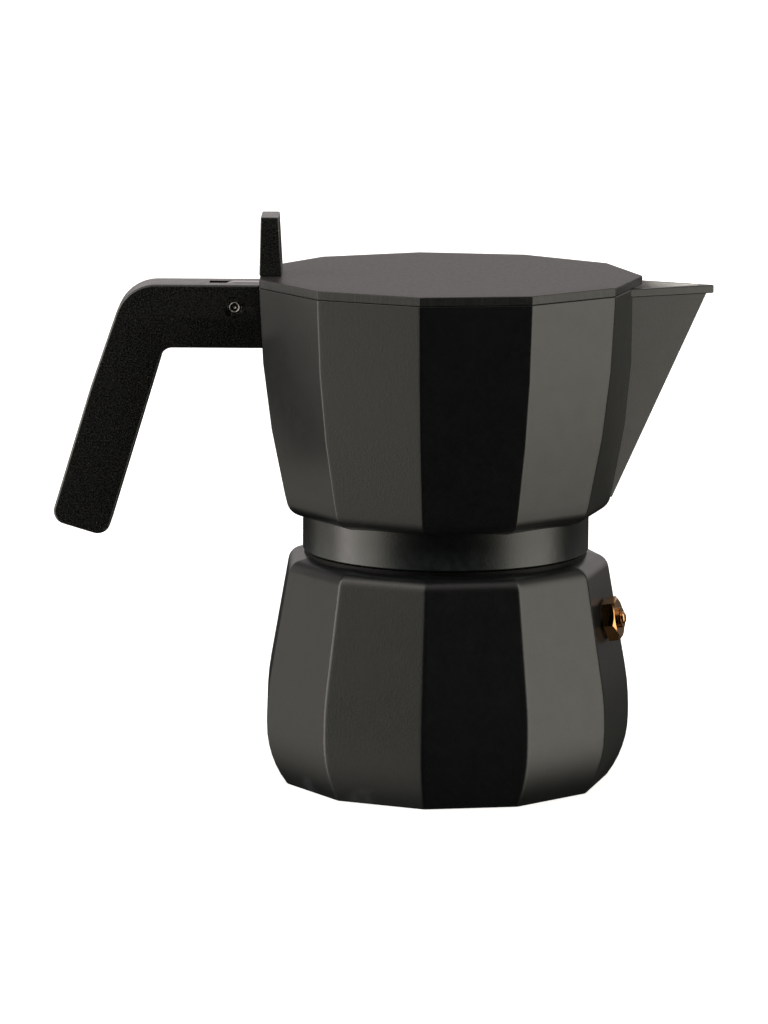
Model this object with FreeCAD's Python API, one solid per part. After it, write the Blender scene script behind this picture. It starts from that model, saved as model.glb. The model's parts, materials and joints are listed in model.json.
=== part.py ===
import FreeCAD
import Part
import math
import os

# A six-cup stovetop moka pot. Millimetres. The origin is the centre of the flat base, +Z is up,
# +X points to the spout and -X to the handle. The body has eleven flat sides: one corner points
# along +X, so one flat side faces the handle.

# ------------------------------------------------------------------ driving dimensions
FACETS = 11
RIM_RADIUS = 62.5            # corner radius of the lid and the upper body's rim
RIM_Z = 161.1                # top of the upper body
BASE_RADIUS = 53.4           # corner radius of the base
BELLY_RADIUS = 60.0          # widest corner radius of the boiler
BELLY_LOW_Z = 9.1            # the belly's two bends, where their straight sides would meet
BELLY_HIGH_Z = 29.7
BELLY_LOW_ROUND = 33.9
BELLY_HIGH_ROUND = 80.0
SHOULDER_CORNER = (52.4, 72.3)     # corner radius and height where side and shoulder would meet
SHOULDER_ROUND = 5.0
SHOULDER_Z = 74.0            # top of the boiler's shoulder, at its collar
BOILER_TURN = 1.2            # degrees from the boiler's sides to the upper body's, thread tight
WATER_FLOOR_Z = 4.6
WATER_BEND_Z = 14.0
WATER_SHOULDER = (49.6, 67.5)      # inside of the shoulder, as corner radius and height
WATER_TOP = (42.0, 69.5)
NECK_RADIUS = 41.0           # thread root of the boiler's neck
NECK_TOP_Z = 84.0
MOUTH_RADIUS = 37.0
COLLAR_RADIUS = 45.7
SKIRT_RADIUS = 46.2          # smooth skirt of the upper body
SKIRT_BOTTOM_Z = 75.2
BODY_BOTTOM_Z = 86.5         # where the skirt meets the upper body's underside
BODY_FOOT = (52.4, 88.6)     # lower corner of the flare, as corner radius and height
BODY_FOOT_ROUND = 6.0
BODY_LEAN_TOP = math.radians(1.32)      # the side's lean above and below its slow bend
BODY_LEAN_BOTTOM = math.radians(14.67)
BODY_BEND_REACH = 35.1       # from the rim down to where the two leaning lines would meet
CHAMBER_BEND = (61.69, 126.0)      # outside the chamber's bend, as corner radius and height
CHAMBER_BEND_ROUND = 260.0
CHAMBER_FOOT_RADIUS = 49.6
CHAMBER_FOOT_ROUND = 2.5
WALL = 3.4                   # upper body's wall
BOILER_WALL = 4.0            # wall at the neck
BOILER_INSET = 4.2           # from the belly's outer corner radius to its inner one
BASE_INSET = 3.0

THREAD_PITCH = 3.2
THREAD_DEPTH = 1.2
THREAD_GAP = 0.3             # radial gap between each crest and the other thread's root
THREAD_ROOT_WIDTH = 1.8
THREAD_CREST_WIDTH = 0.8
THREAD_TURNS = 1.6
THREAD_START_Z = 77.3

LID_THICKNESS = 2.8
LID_BOTTOM_Z = 161.2
HINGE_X = -68.1
HINGE_Z = 154.0
HINGE_PIN_RADIUS = 2.5
HINGE_RUNNING_GAP = 0.05
ARM_HALF_WIDTH = 2.4
ARM_THICKNESS = 2.6
ARM_BEND_X = -59.5           # where the lid's arm turns down to its eye
ARM_END_X = -40.0
EAR_INNER_Y = 2.7
EAR_OUTER_Y = 5.2

HANDLE_TOP_Z = 161.1
HANDLE_DEPTH = 20.3          # height of the handle's level arm
HANDLE_HALF_WIDTH = 9.5
HANDLE_LEAN = math.radians(16.8)   # how far the grip leans from vertical
HANDLE_LEAN_TOP = math.radians(19.0)    # lean of the outer side above its slow bend
HANDLE_BEND_Z = 128.0
HANDLE_BEND_ROUND = 150.0
HANDLE_OUTER_ROUND = 13.5
HANDLE_INNER_ROUND = 3.5
HANDLE_FOOT_ROUND = 4.3
GRIP_INNER_X = -90.7         # where the grip's inner side would meet the arm's underside
GRIP_DEPTH = 18.8            # thickness of the grip, square to its length
GRIP_BOTTOM_Z = 79.3
HANDLE_FRONT_LOW_X = -59.2
HANDLE_FRONT_HIGH_X = -60.2
HANDLE_EDGE = 0.9            # rounding along the handle's edges
SLOT_HALF_WIDTH = 3.0        # slot in the handle's top that the lid's arm swings in

SPOUT_FOOT = (55.3, 95.0)    # x and z where the spout's ridge leaves the body's corner
SPOUT_RIDGE_SLOPE = 0.4433   # ridge's run outwards for each millimetre of rise
SPOUT_HALF_ANGLE = math.radians(26.5)
SPOUT_WALL = 1.4
LIP_OVERHANG = 1.1
LIP_HEIGHT = 2.6
LIP_TIP_X = 85.4
HORN_BACK_X = 40.0           # the spout's solids start here, inside the body's wall
LIP_BACK_X = 52.0

KNOB_X = (-60.2, -53.0)      # rear and front face of the knob at its foot
KNOB_TAPER = (0.4, 1.1)      # how far each face comes in at the top
KNOB_EDGE = 0.4
KNOB_HALF_WIDTH = 9.5
KNOB_TOP_Z = 182.9
KNOB_AXIS_X = -56.5

VALVE_FACET = -0.5           # the valve is in the middle of the side between corners -1 and 0
VALVE_Z = 54.3               # height where the valve's axis meets the side
VALVE_HEX = 12.6             # across flats
VALVE_TURN = 10.0            # how far the tightened hexagon stands from level, in degrees

FUNNEL_RADIUS = 36.4
FUNNEL_WALL = 1.0
FLANGE_RADIUS = 40.0
FLANGE_THICKNESS = 1.0
GASKET_THICKNESS = 3.6
PLATE_THICKNESS = 0.8
PLATE_RADIUS = 33.2

STEP = 360.0 / FACETS
FLAT = math.cos(math.pi / FACETS)    # distance of a flat side, for a corner radius of one
FAR = 80.0                           # beyond every side of the body
OVERLAP = 0.4                        # how far a fused piece reaches into its neighbour
RUNNING_GAP = 0.3                    # between faces that move past each other
TINY = 1e-6


# ------------------------------------------------------------------ general shapes
def vec(x, y, z):
    return FreeCAD.Vector(x, y, z)


def outline(corners):
    """A closed wire in the XZ plane. A corner is (x, z), or (x, z, radius) where it is rounded."""
    stretches = []
    for index, corner in enumerate(corners):
        before = corners[index - 1]
        after = corners[(index + 1) % len(corners)]
        point = vec(corner[0], 0, corner[1])
        if len(corner) < 3:
            stretches.append((point, None, point))
            continue
        radius = corner[2]
        to_before = (vec(before[0], 0, before[1]) - point).normalize()
        to_after = (vec(after[0], 0, after[1]) - point).normalize()
        half_angle = to_before.getAngle(to_after) / 2
        reach = radius / math.tan(half_angle)
        towards_centre = (to_before + to_after).normalize()
        middle = point + towards_centre * (radius / math.sin(half_angle) - radius)
        stretches.append((point + to_before * reach, middle, point + to_after * reach))
    edges = []
    for index, (start, middle, end) in enumerate(stretches):
        if middle is not None:
            edges.append(Part.Arc(start, middle, end).toShape())
        next_start = stretches[(index + 1) % len(stretches)][0]
        if end.distanceToPoint(next_start) > TINY:
            edges.append(Part.LineSegment(end, next_start).toShape())
    return Part.Wire(edges)


def turned(corners):
    """A solid of revolution about the Z axis."""
    return Part.Face(outline(corners)).revolve(vec(0, 0, 0), vec(0, 0, 1), 360)


def slab(corners, low_y, high_y):
    """An XZ outline given thickness along Y."""
    face = Part.Face(outline(corners))
    face.translate(vec(0, low_y, 0))
    return face.extrude(vec(0, high_y - low_y, 0))


def box(low, high):
    return Part.makeBox(high[0] - low[0], high[1] - low[1], high[2] - low[2], vec(*low))


def cylinder(radius, low_z, high_z, x=0.0, y=0.0):
    return Part.makeCylinder(radius, high_z - low_z, vec(x, y, low_z))


def cross_cylinder(radius, low_y, high_y, x, z):
    """A cylinder along Y."""
    return Part.makeCylinder(radius, high_y - low_y, vec(x, low_y, z), vec(0, 1, 0))


def faceted(corners):
    """An eleven-sided body. The outline runs upwards, and its x values are corner radii."""
    scaled = [(corner[0] * FLAT,) + tuple(corner[1:]) for corner in corners]
    scaled.append((-FAR, corners[-1][1]))
    scaled.append((-FAR, corners[0][1]))
    side = slab(scaled, -FAR, FAR)
    body = None
    for index in range(FACETS):
        turned_side = side.copy()
        turned_side.rotate(vec(0, 0, 0), vec(0, 0, 1), (index + 0.5) * STEP)
        body = turned_side if body is None else body.common(turned_side)
    return body


def thread_ridge(root_radius, crest_radius, start_z):
    """A helical ridge that stands on root_radius and points at crest_radius."""
    inwards = math.copysign(OVERLAP, root_radius - crest_radius)
    embedded = root_radius + inwards
    half_root = THREAD_ROOT_WIDTH / 2
    half_crest = THREAD_CREST_WIDTH / 2
    section = Part.makePolygon([
        vec(embedded, 0, -half_root),
        vec(root_radius, 0, -half_root),
        vec(crest_radius, 0, -half_crest),
        vec(crest_radius, 0, half_crest),
        vec(root_radius, 0, half_root),
        vec(embedded, 0, half_root),
        vec(embedded, 0, -half_root),
    ])
    helix = Part.makeHelix(THREAD_PITCH, THREAD_PITCH * THREAD_TURNS, root_radius)
    ridge = Part.Wire(helix).makePipeShell([section], True, True)
    ridge.translate(vec(0, 0, start_z))
    return ridge


def hexagon(across_flats, low_z, high_z):
    """A hexagonal prism about Z, with two of its flats square to X."""
    corner_radius = across_flats / math.sqrt(3)
    corners = []
    for index in range(7):
        angle = math.radians(60 * index + 30)
        corners.append(vec(corner_radius * math.cos(angle), corner_radius * math.sin(angle), low_z))
    return Part.Face(Part.makePolygon(corners)).extrude(vec(0, 0, high_z - low_z))


def perforations(rings, ring_gap, hole_radius, low_z, high_z):
    """Holes on rings about the Z axis, six more on each ring than on the one inside it."""
    holes = [cylinder(hole_radius, low_z, high_z)]
    for ring in range(1, rings + 1):
        for index in range(6 * ring):
            angle = 2 * math.pi * index / (6 * ring)
            radius = ring * ring_gap
            hole = cylinder(hole_radius, low_z, high_z, radius * math.cos(angle), radius * math.sin(angle))
            holes.append(hole)
    return Part.makeCompound(holes)


# ------------------------------------------------------------------ boiler
def boiler():
    """The water chamber: flat base, swelling belly, rounded shoulder, threaded neck."""
    shell = faceted([
        (BASE_RADIUS, 0.0),
        (BELLY_RADIUS, BELLY_LOW_Z, BELLY_LOW_ROUND),
        (BELLY_RADIUS, BELLY_HIGH_Z, BELLY_HIGH_ROUND),
        (*SHOULDER_CORNER, SHOULDER_ROUND),
        (COLLAR_RADIUS, SHOULDER_Z),
    ])
    inside = faceted([
        (BASE_RADIUS - BASE_INSET, WATER_FLOOR_Z, BOILER_WALL),
        (BELLY_RADIUS - BOILER_INSET, WATER_BEND_Z, 5 * BOILER_WALL),
        (BELLY_RADIUS - BOILER_INSET, BELLY_HIGH_Z, BELLY_HIGH_ROUND),
        (*WATER_SHOULDER, BOILER_WALL),
        WATER_TOP,
    ])
    collar_top_z = SKIRT_BOTTOM_Z - RUNNING_GAP
    collar_foot_z = WATER_TOP[1] + 0.2
    pot = shell.cut(inside)
    pot.rotate(vec(0, 0, 0), vec(0, 0, 1), BOILER_TURN)
    pot = pot.fuse(cylinder(COLLAR_RADIUS, collar_foot_z, collar_top_z))
    pot = pot.fuse(cylinder(NECK_RADIUS, collar_foot_z, NECK_TOP_Z))
    pot = pot.cut(cylinder(MOUTH_RADIUS, WATER_TOP[1] - BOILER_WALL, NECK_TOP_Z + 1))
    pot = pot.fuse(thread_ridge(NECK_RADIUS, NECK_RADIUS + THREAD_DEPTH, THREAD_START_Z))
    hole = cylinder(VALVE_SHANK_RADIUS, -3 * BOILER_WALL, BOILER_WALL)
    return pot.cut(on_valve_axis(hole))


# ------------------------------------------------------------------ safety valve
# Its pieces are drawn about Z with z = 0 on the boiler's side, and then laid on the side's normal.
VALVE_SHANK_RADIUS = 4.9
VALVE_WASHER_THICKNESS = 0.8
VALVE_HEAD_HEIGHT = 3.9
VALVE_BOSS_RADIUS = 3.2
VALVE_BOSS_HEIGHT = 1.1
VALVE_SHANK_END = -9.5
VALVE_CHAMBER_RADIUS = 3.5
VALVE_CHAMBER_TOP = 2.4
VALVE_PIN_RADIUS = 1.9
VALVE_PIN_DOME = 0.9
VALVE_PLATE_THICKNESS = 1.2
VALVE_SEAT_THICKNESS = 1.5
VALVE_SEAT_HOLE = 1.7
SPRING_RADIUS = 2.85
SPRING_WIRE_RADIUS = 0.3
SPRING_TURNS = 5
BOILER_SIDE_SLOPE = (BELLY_RADIUS - SHOULDER_CORNER[0]) / (SHOULDER_CORNER[1] - BELLY_HIGH_Z)


def on_valve_axis(shape):
    lean = math.degrees(math.atan(BOILER_SIDE_SLOPE * FLAT))
    distance = (BELLY_RADIUS - (VALVE_Z - BELLY_HIGH_Z) * BOILER_SIDE_SLOPE) * FLAT
    placed = shape.copy()
    placed.rotate(vec(0, 0, 0), vec(0, 0, 1), VALVE_TURN)
    placed.rotate(vec(0, 0, 0), vec(0, 1, 0), 90 - lean)
    placed.translate(vec(distance, 0, VALVE_Z))
    placed.rotate(vec(0, 0, 0), vec(0, 0, 1), VALVE_FACET * STEP + BOILER_TURN)
    return placed


def valve_body():
    head_foot = VALVE_WASHER_THICKNESS
    head_top = head_foot + VALVE_HEAD_HEIGHT
    boss_top = head_top + VALVE_BOSS_HEIGHT
    # The head's corners are turned off to a cone at its outer end.
    chamfer = turned([
        (0, head_foot),
        (VALVE_HEX, head_foot),
        (VALVE_HEX * 0.6, head_top - 1.0),
        (VALVE_HEX * 0.48, head_top),
        (0, head_top),
    ])
    body = hexagon(VALVE_HEX, head_foot, head_top).common(chamfer)
    body = body.fuse(cylinder(VALVE_BOSS_RADIUS, head_top - OVERLAP, boss_top))
    body = body.fuse(cylinder(VALVE_SHANK_RADIUS, VALVE_SHANK_END, head_foot + OVERLAP))
    body = body.cut(cylinder(VALVE_CHAMBER_RADIUS, VALVE_SHANK_END - 1, VALVE_CHAMBER_TOP))
    body = body.cut(cylinder(VALVE_PIN_RADIUS + HINGE_RUNNING_GAP, 0, boss_top + 1))
    return on_valve_axis(body)


def valve_washer():
    ring = cylinder(VALVE_HEX / 2 - 0.2, 0.0, VALVE_WASHER_THICKNESS)
    return on_valve_axis(ring.cut(cylinder(VALVE_SHANK_RADIUS, -1, 2)))


def valve_seat():
    ring = cylinder(VALVE_CHAMBER_RADIUS, VALVE_SHANK_END, VALVE_SHANK_END + VALVE_SEAT_THICKNESS)
    return on_valve_axis(ring.cut(cylinder(VALVE_SEAT_HOLE, VALVE_SHANK_END - 1, 0)))


def valve_pin():
    plate_foot = VALVE_SHANK_END + VALVE_SEAT_THICKNESS
    plate_radius = VALVE_CHAMBER_RADIUS - RUNNING_GAP
    pin_top = VALVE_WASHER_THICKNESS + VALVE_HEAD_HEIGHT + VALVE_BOSS_HEIGHT + VALVE_PIN_DOME
    pin = turned([
        (0, plate_foot),
        (plate_radius, plate_foot),
        (plate_radius, plate_foot + VALVE_PLATE_THICKNESS),
        (VALVE_PIN_RADIUS, plate_foot + VALVE_PLATE_THICKNESS),
        (VALVE_PIN_RADIUS, pin_top, VALVE_PIN_DOME),
        (0, pin_top),
    ])
    return on_valve_axis(pin)


def valve_spring():
    low = VALVE_SHANK_END + VALVE_SEAT_THICKNESS + VALVE_PLATE_THICKNESS + SPRING_WIRE_RADIUS
    high = VALVE_CHAMBER_TOP - SPRING_WIRE_RADIUS
    length = high - low
    helix = Part.makeHelix(length / SPRING_TURNS, length, SPRING_RADIUS)
    wire = Part.Wire(Part.makeCircle(SPRING_WIRE_RADIUS, vec(SPRING_RADIUS, 0, 0), vec(0, 1, 0)))
    coil = Part.Wire(helix).makePipeShell([wire], True, True)
    coil.translate(vec(0, 0, low))
    return on_valve_axis(coil)


# ------------------------------------------------------------------ coffee funnel
FUNNEL_CONE_Z = 60.0         # where the basket turns into the cone
FUNNEL_THROAT_Z = 52.0
STEM_RADIUS = 6.5
STEM_WALL = 0.9
STEM_BOTTOM_Z = 8.0
FUNNEL_ROUND = 1.5
STRAINER_GAP = 6.0           # spacing and radius of the strainer's and the filter's holes
STRAINER_HOLE = 0.9
FILTER_GAP = 4.4
FILTER_HOLE = 0.7


def funnel_basket():
    """Flange, straight basket and cone, all in sheet."""
    top = NECK_TOP_Z + FLANGE_THICKNESS
    inner = FUNNEL_RADIUS - FUNNEL_WALL
    return turned([
        (STEM_RADIUS, FUNNEL_THROAT_Z),
        (FUNNEL_RADIUS, FUNNEL_CONE_Z, FUNNEL_ROUND),
        (FUNNEL_RADIUS, NECK_TOP_Z),
        (FLANGE_RADIUS, NECK_TOP_Z),
        (FLANGE_RADIUS, top),
        (inner, top),
        (inner, FUNNEL_CONE_Z + FUNNEL_WALL / 2),
        (STEM_RADIUS, FUNNEL_THROAT_Z + FUNNEL_WALL),
    ])


def funnel_strainer():
    low = FUNNEL_CONE_Z + 1.0
    plate = cylinder(FUNNEL_RADIUS - FUNNEL_WALL, low, low + PLATE_THICKNESS)
    return plate.cut(perforations(5, STRAINER_GAP, STRAINER_HOLE, low - 1, low + 2))


def funnel_stem():
    tube = cylinder(STEM_RADIUS, STEM_BOTTOM_Z, FUNNEL_THROAT_Z + FUNNEL_WALL)
    return tube.cut(cylinder(STEM_RADIUS - STEM_WALL, 0, NECK_TOP_Z))


# ------------------------------------------------------------------ seal
GASKET_RADIUS = 40.6
GASKET_HOLE = 29.0
GASKET_FOOT_Z = NECK_TOP_Z + FLANGE_THICKNESS
GASKET_TOP_Z = GASKET_FOOT_Z + GASKET_THICKNESS


def gasket():
    rounding = 0.5
    return turned([
        (GASKET_HOLE, GASKET_FOOT_Z, rounding),
        (GASKET_RADIUS, GASKET_FOOT_Z, rounding),
        (GASKET_RADIUS, GASKET_TOP_Z, rounding),
        (GASKET_HOLE, GASKET_TOP_Z, rounding),
    ])


def filter_plate():
    plate = cylinder(PLATE_RADIUS, GASKET_TOP_Z, GASKET_TOP_Z + PLATE_THICKNESS)
    return plate.cut(perforations(6, FILTER_GAP, FILTER_HOLE, GASKET_TOP_Z - 1, GASKET_TOP_Z + 2))


# ------------------------------------------------------------------ upper body
POCKET_TOP_Z = 158.9         # the handle's pocket over the ears
POCKET_FLOOR = 2.1           # thickness under the pocket
POCKET_REAR_X = -73.8
COLUMN_SPIGOT_RADIUS = 5.5
COLUMN_SPIGOT_Z = 94.4
COLUMN_FOOT_Z = 98.0
FLOOR_Z = 93.6
FLOOR_CONE_RADII = (40.0, 10.0)    # the chamber's floor rises between these
THROAT_RADIUS = 31.0         # the hollow under that floor, at its foot
SEAL_CLEARANCE = 0.2
EAR_FRONT_X = -58.0
EAR_REAR_X = -73.1
EAR_ROUND = 4.0
NOTCH_X = (-65.0, -52.0)     # the gap in the rim that the lid's arm lies in
NOTCH_FLOOR_Z = 156.4


def ridge_x(z):
    """Where the spout's sharp front ridge is at height z."""
    return SPOUT_FOOT[0] + (z - SPOUT_FOOT[1]) * SPOUT_RIDGE_SLOPE


def vee(tip_low, low_z, tip_high, high_z, back_x):
    """A solid with a V-shaped plan that points along +X. Its tip moves from tip_low to tip_high."""
    rings = []
    for tip, z in ((tip_low, low_z), (tip_high, high_z)):
        half = (tip - back_x) * math.tan(SPOUT_HALF_ANGLE)
        rings.append(Part.makePolygon([
            vec(tip, 0, z), vec(back_x, half, z), vec(back_x, -half, z), vec(tip, 0, z),
        ]))
    return Part.makeLoft(rings, True, True)


def upper_outer():
    """The collector's outside: a flat-sided flare with a rounded lower edge."""
    bend_x = RIM_RADIUS - BODY_BEND_REACH * math.sin(BODY_LEAN_TOP)
    bend_z = RIM_Z - BODY_BEND_REACH * math.cos(BODY_LEAN_TOP)
    # The bend's arc starts just below the rim.
    bend_round = 0.97 * BODY_BEND_REACH / math.tan((BODY_LEAN_BOTTOM - BODY_LEAN_TOP) / 2)
    return faceted([
        (SKIRT_RADIUS, BODY_BOTTOM_Z),
        (*BODY_FOOT, BODY_FOOT_ROUND),
        (bend_x, bend_z, bend_round),
        (RIM_RADIUS, RIM_Z),
    ])


def upper_inner():
    """The coffee chamber, open at the rim."""
    inset = WALL / FLAT
    return faceted([
        (CHAMBER_FOOT_RADIUS, FLOOR_Z, CHAMBER_FOOT_ROUND),
        (CHAMBER_BEND[0] - inset, CHAMBER_BEND[1], CHAMBER_BEND_ROUND),
        (RIM_RADIUS - inset, RIM_Z + 0.5),
    ])


def spout_outer():
    foot_z = SPOUT_FOOT[1] - 3.0
    horn = vee(ridge_x(foot_z), foot_z, ridge_x(RIM_Z), RIM_Z, HORN_BACK_X)
    overhang = LIP_OVERHANG / math.sin(SPOUT_HALF_ANGLE)
    tip = ridge_x(RIM_Z - LIP_HEIGHT) + overhang
    lip = vee(tip, RIM_Z - LIP_HEIGHT, tip, RIM_Z, LIP_BACK_X)
    blunt = box((LIP_TIP_X, -FAR, 0), (FAR * 2, FAR, FAR * 3))
    return horn.fuse(lip.cut(blunt))


def spout_inner():
    inset = SPOUT_WALL / math.sin(SPOUT_HALF_ANGLE)
    low_z = SPOUT_FOOT[1] + 2.0
    high_z = RIM_Z + 1.0
    return vee(ridge_x(low_z) - inset, low_z, ridge_x(high_z) - inset, high_z, HORN_BACK_X)


def hinge_ears():
    """Two lugs behind the rim that carry the hinge and fill the handle's pocket."""
    top_z = POCKET_TOP_Z - RUNNING_GAP
    foot_z = HANDLE_TOP_Z - HANDLE_DEPTH + POCKET_FLOOR + RUNNING_GAP
    corners = [
        (EAR_FRONT_X, foot_z),
        (EAR_REAR_X, foot_z, EAR_ROUND),
        (EAR_REAR_X, top_z, EAR_ROUND),
        (EAR_FRONT_X, top_z),
    ]
    ears = []
    for low_y, high_y in ((-EAR_OUTER_Y, -EAR_INNER_Y), (EAR_INNER_Y, EAR_OUTER_Y)):
        ears.append(slab(corners, low_y, high_y))
    return ears


def upper_body():
    thread_root = NECK_RADIUS + THREAD_DEPTH + THREAD_GAP
    thread_crest = NECK_RADIUS + THREAD_GAP
    body = upper_outer().fuse(cylinder(SKIRT_RADIUS, SKIRT_BOTTOM_Z, FLOOR_Z - 2.0))
    body = body.fuse(spout_outer())
    for ear in hinge_ears():
        body = body.fuse(ear)
    body = body.cut(upper_inner())
    body = body.cut(spout_inner())
    # The floor rises to the column's foot, and the underside is hollowed to match.
    body = body.fuse(turned([
        (0, FLOOR_Z - OVERLAP),
        (FLOOR_CONE_RADII[0], FLOOR_Z - OVERLAP),
        (FLOOR_CONE_RADII[0], FLOOR_Z),
        (FLOOR_CONE_RADII[1], COLUMN_FOOT_Z),
        (0, COLUMN_FOOT_Z),
    ]))
    body = body.cut(turned([
        (0, SKIRT_BOTTOM_Z - 1),
        (thread_root, SKIRT_BOTTOM_Z - 1),
        (thread_root, GASKET_FOOT_Z),
        (GASKET_RADIUS + SEAL_CLEARANCE, GASKET_FOOT_Z),
        (GASKET_RADIUS + SEAL_CLEARANCE, GASKET_TOP_Z),
        (PLATE_RADIUS + SEAL_CLEARANCE, GASKET_TOP_Z),
        (PLATE_RADIUS + SEAL_CLEARANCE, GASKET_TOP_Z + PLATE_THICKNESS),
        (THROAT_RADIUS, GASKET_TOP_Z + PLATE_THICKNESS),
        (COLUMN_SPIGOT_RADIUS, COLUMN_SPIGOT_Z),
        (COLUMN_SPIGOT_RADIUS, COLUMN_FOOT_Z + 1),
        (0, COLUMN_FOOT_Z + 1),
    ]))
    body = body.fuse(thread_ridge(thread_root, thread_crest, THREAD_START_Z + THREAD_PITCH / 2))
    notch_y = EAR_INNER_Y + 0.1
    body = body.cut(box((NOTCH_X[0], -notch_y, NOTCH_FLOOR_Z), (NOTCH_X[1], notch_y, RIM_Z + 1)))
    return body.cut(cross_cylinder(HINGE_PIN_RADIUS, -FAR, FAR, HINGE_X, HINGE_Z))


COLUMN_BORE = 3.6
COLUMN_TOP_Z = 141.0
COLUMN_RADII = (9.0, 8.6, 5.6)     # at the flange, just above it, and at the top
COLUMN_FLANGE = 2.5
COLUMN_SLOT_HALF_WIDTH = 0.9
COLUMN_SLOT_DEPTHS = (12.0, 4.0)   # foot and head of the slots, below the top


def coffee_column():
    """The riser: a tapered tube with a spigot in the floor and two slots near its closed top."""
    tube = turned([
        (COLUMN_BORE, COLUMN_SPIGOT_Z),
        (COLUMN_SPIGOT_RADIUS, COLUMN_SPIGOT_Z),
        (COLUMN_SPIGOT_RADIUS, COLUMN_FOOT_Z),
        (COLUMN_RADII[0], COLUMN_FOOT_Z),
        (COLUMN_RADII[1], COLUMN_FOOT_Z + COLUMN_FLANGE),
        (COLUMN_RADII[2], COLUMN_TOP_Z, COLUMN_FLANGE),
        (0, COLUMN_TOP_Z),
        (0, COLUMN_TOP_Z - 2.0),
        (COLUMN_BORE, COLUMN_TOP_Z - 3.5),
    ])
    slot_foot = COLUMN_TOP_Z - COLUMN_SLOT_DEPTHS[0]
    slot_head = COLUMN_TOP_Z - COLUMN_SLOT_DEPTHS[1]
    return tube.cut(box((-FAR, -COLUMN_SLOT_HALF_WIDTH, slot_foot), (FAR, COLUMN_SLOT_HALF_WIDTH, slot_head)))


# ------------------------------------------------------------------ handle and hinge
HINGE_HEAD_RADIUS = 3.3
HINGE_HEAD_HEIGHT = 1.3
HINGE_HEAD_EDGE = 0.35       # chamfer round each head
HINGE_RECESS_DEPTH = 1.5
HINGE_RECESS_RADIUS = 3.4
SCREW_RADIUS = 1.5
SCREW_END_Y = 5.0
RING_RADII = (1.6, 2.15)     # ring groove in the screw's face
RING_DEPTH = 0.5
SOCKET_WIDTH = 1.7
SOCKET_DEPTH = 0.9
SLOT_REAR_X = -76.4


def handle():
    """A level arm behind the body and a grip that leans away from it, moulded in one."""
    lean = math.tan(HANDLE_LEAN)
    underside_z = HANDLE_TOP_Z - HANDLE_DEPTH
    outer_x = GRIP_INNER_X - GRIP_DEPTH / math.cos(HANDLE_LEAN)
    bend_x = outer_x - (underside_z - HANDLE_BEND_Z) * lean
    outer_top_x = bend_x + (HANDLE_TOP_Z - HANDLE_BEND_Z) * math.tan(HANDLE_LEAN_TOP)
    inner_foot = (GRIP_INNER_X - (underside_z - GRIP_BOTTOM_Z) * lean, GRIP_BOTTOM_Z)
    outer_foot = (
        inner_foot[0] - GRIP_DEPTH * math.cos(HANDLE_LEAN),
        inner_foot[1] + GRIP_DEPTH * math.sin(HANDLE_LEAN),
    )
    bar = slab([
        (HANDLE_FRONT_LOW_X, underside_z),
        (HANDLE_FRONT_HIGH_X, HANDLE_TOP_Z),
        (outer_top_x, HANDLE_TOP_Z, HANDLE_OUTER_ROUND),
        (bend_x, HANDLE_BEND_Z, HANDLE_BEND_ROUND),
        (*outer_foot, HANDLE_FOOT_ROUND),
        (*inner_foot, HANDLE_FOOT_ROUND),
        (GRIP_INNER_X, underside_z, HANDLE_INNER_ROUND),
    ], -HANDLE_HALF_WIDTH, HANDLE_HALF_WIDTH)
    rims = [edge for edge in bar.Edges if long_side_edge(edge)]
    bar = bar.makeFillet(HANDLE_EDGE, rims)
    pocket_half = EAR_OUTER_Y + 0.2
    floor_z = underside_z + POCKET_FLOOR
    bar = bar.cut(box((POCKET_REAR_X, -pocket_half, floor_z), (0, pocket_half, POCKET_TOP_Z)))
    bar = bar.cut(box((SLOT_REAR_X, -SLOT_HALF_WIDTH, floor_z), (0, SLOT_HALF_WIDTH, HANDLE_TOP_Z + 1)))
    bar = bar.cut(cross_cylinder(HINGE_PIN_RADIUS, -FAR, FAR, HINGE_X, HINGE_Z))
    for low_y, high_y in recess_spans():
        recess = cross_cylinder(HINGE_RECESS_RADIUS, low_y, high_y, HINGE_X, HINGE_Z)
        bar = bar.cut(recess)
    return bar


def long_side_edge(edge):
    """True for the handle's edges that lie in its two flat cheeks, away from the body."""
    points = [edge.valueAt(edge.FirstParameter), edge.valueAt(edge.LastParameter)]
    on_cheek = all(abs(abs(point.y) - HANDLE_HALF_WIDTH) < TINY for point in points)
    at_front = all(point.x > HANDLE_FRONT_HIGH_X - 1 for point in points)
    return on_cheek and not at_front


def recess_spans():
    """The Y spans of the two recesses that the hinge's heads sit in."""
    floor_y = HANDLE_HALF_WIDTH - HINGE_RECESS_DEPTH
    return ((-FAR, -floor_y), (floor_y, FAR))


def hinge_head(side):
    """A round head that fills the recess on one side, with its outer edge turned off."""
    floor_y = HANDLE_HALF_WIDTH - HINGE_RECESS_DEPTH
    edge_y = floor_y + HINGE_HEAD_HEIGHT - HINGE_HEAD_EDGE
    axis = vec(0, side, 0)
    base = Part.makeCylinder(HINGE_HEAD_RADIUS, edge_y - floor_y, vec(HINGE_X, side * floor_y, HINGE_Z), axis)
    face_radius = HINGE_HEAD_RADIUS - HINGE_HEAD_EDGE
    foot = vec(HINGE_X, side * edge_y, HINGE_Z)
    return base.fuse(Part.makeCone(HINGE_HEAD_RADIUS, face_radius, HINGE_HEAD_EDGE, foot, axis))


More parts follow.
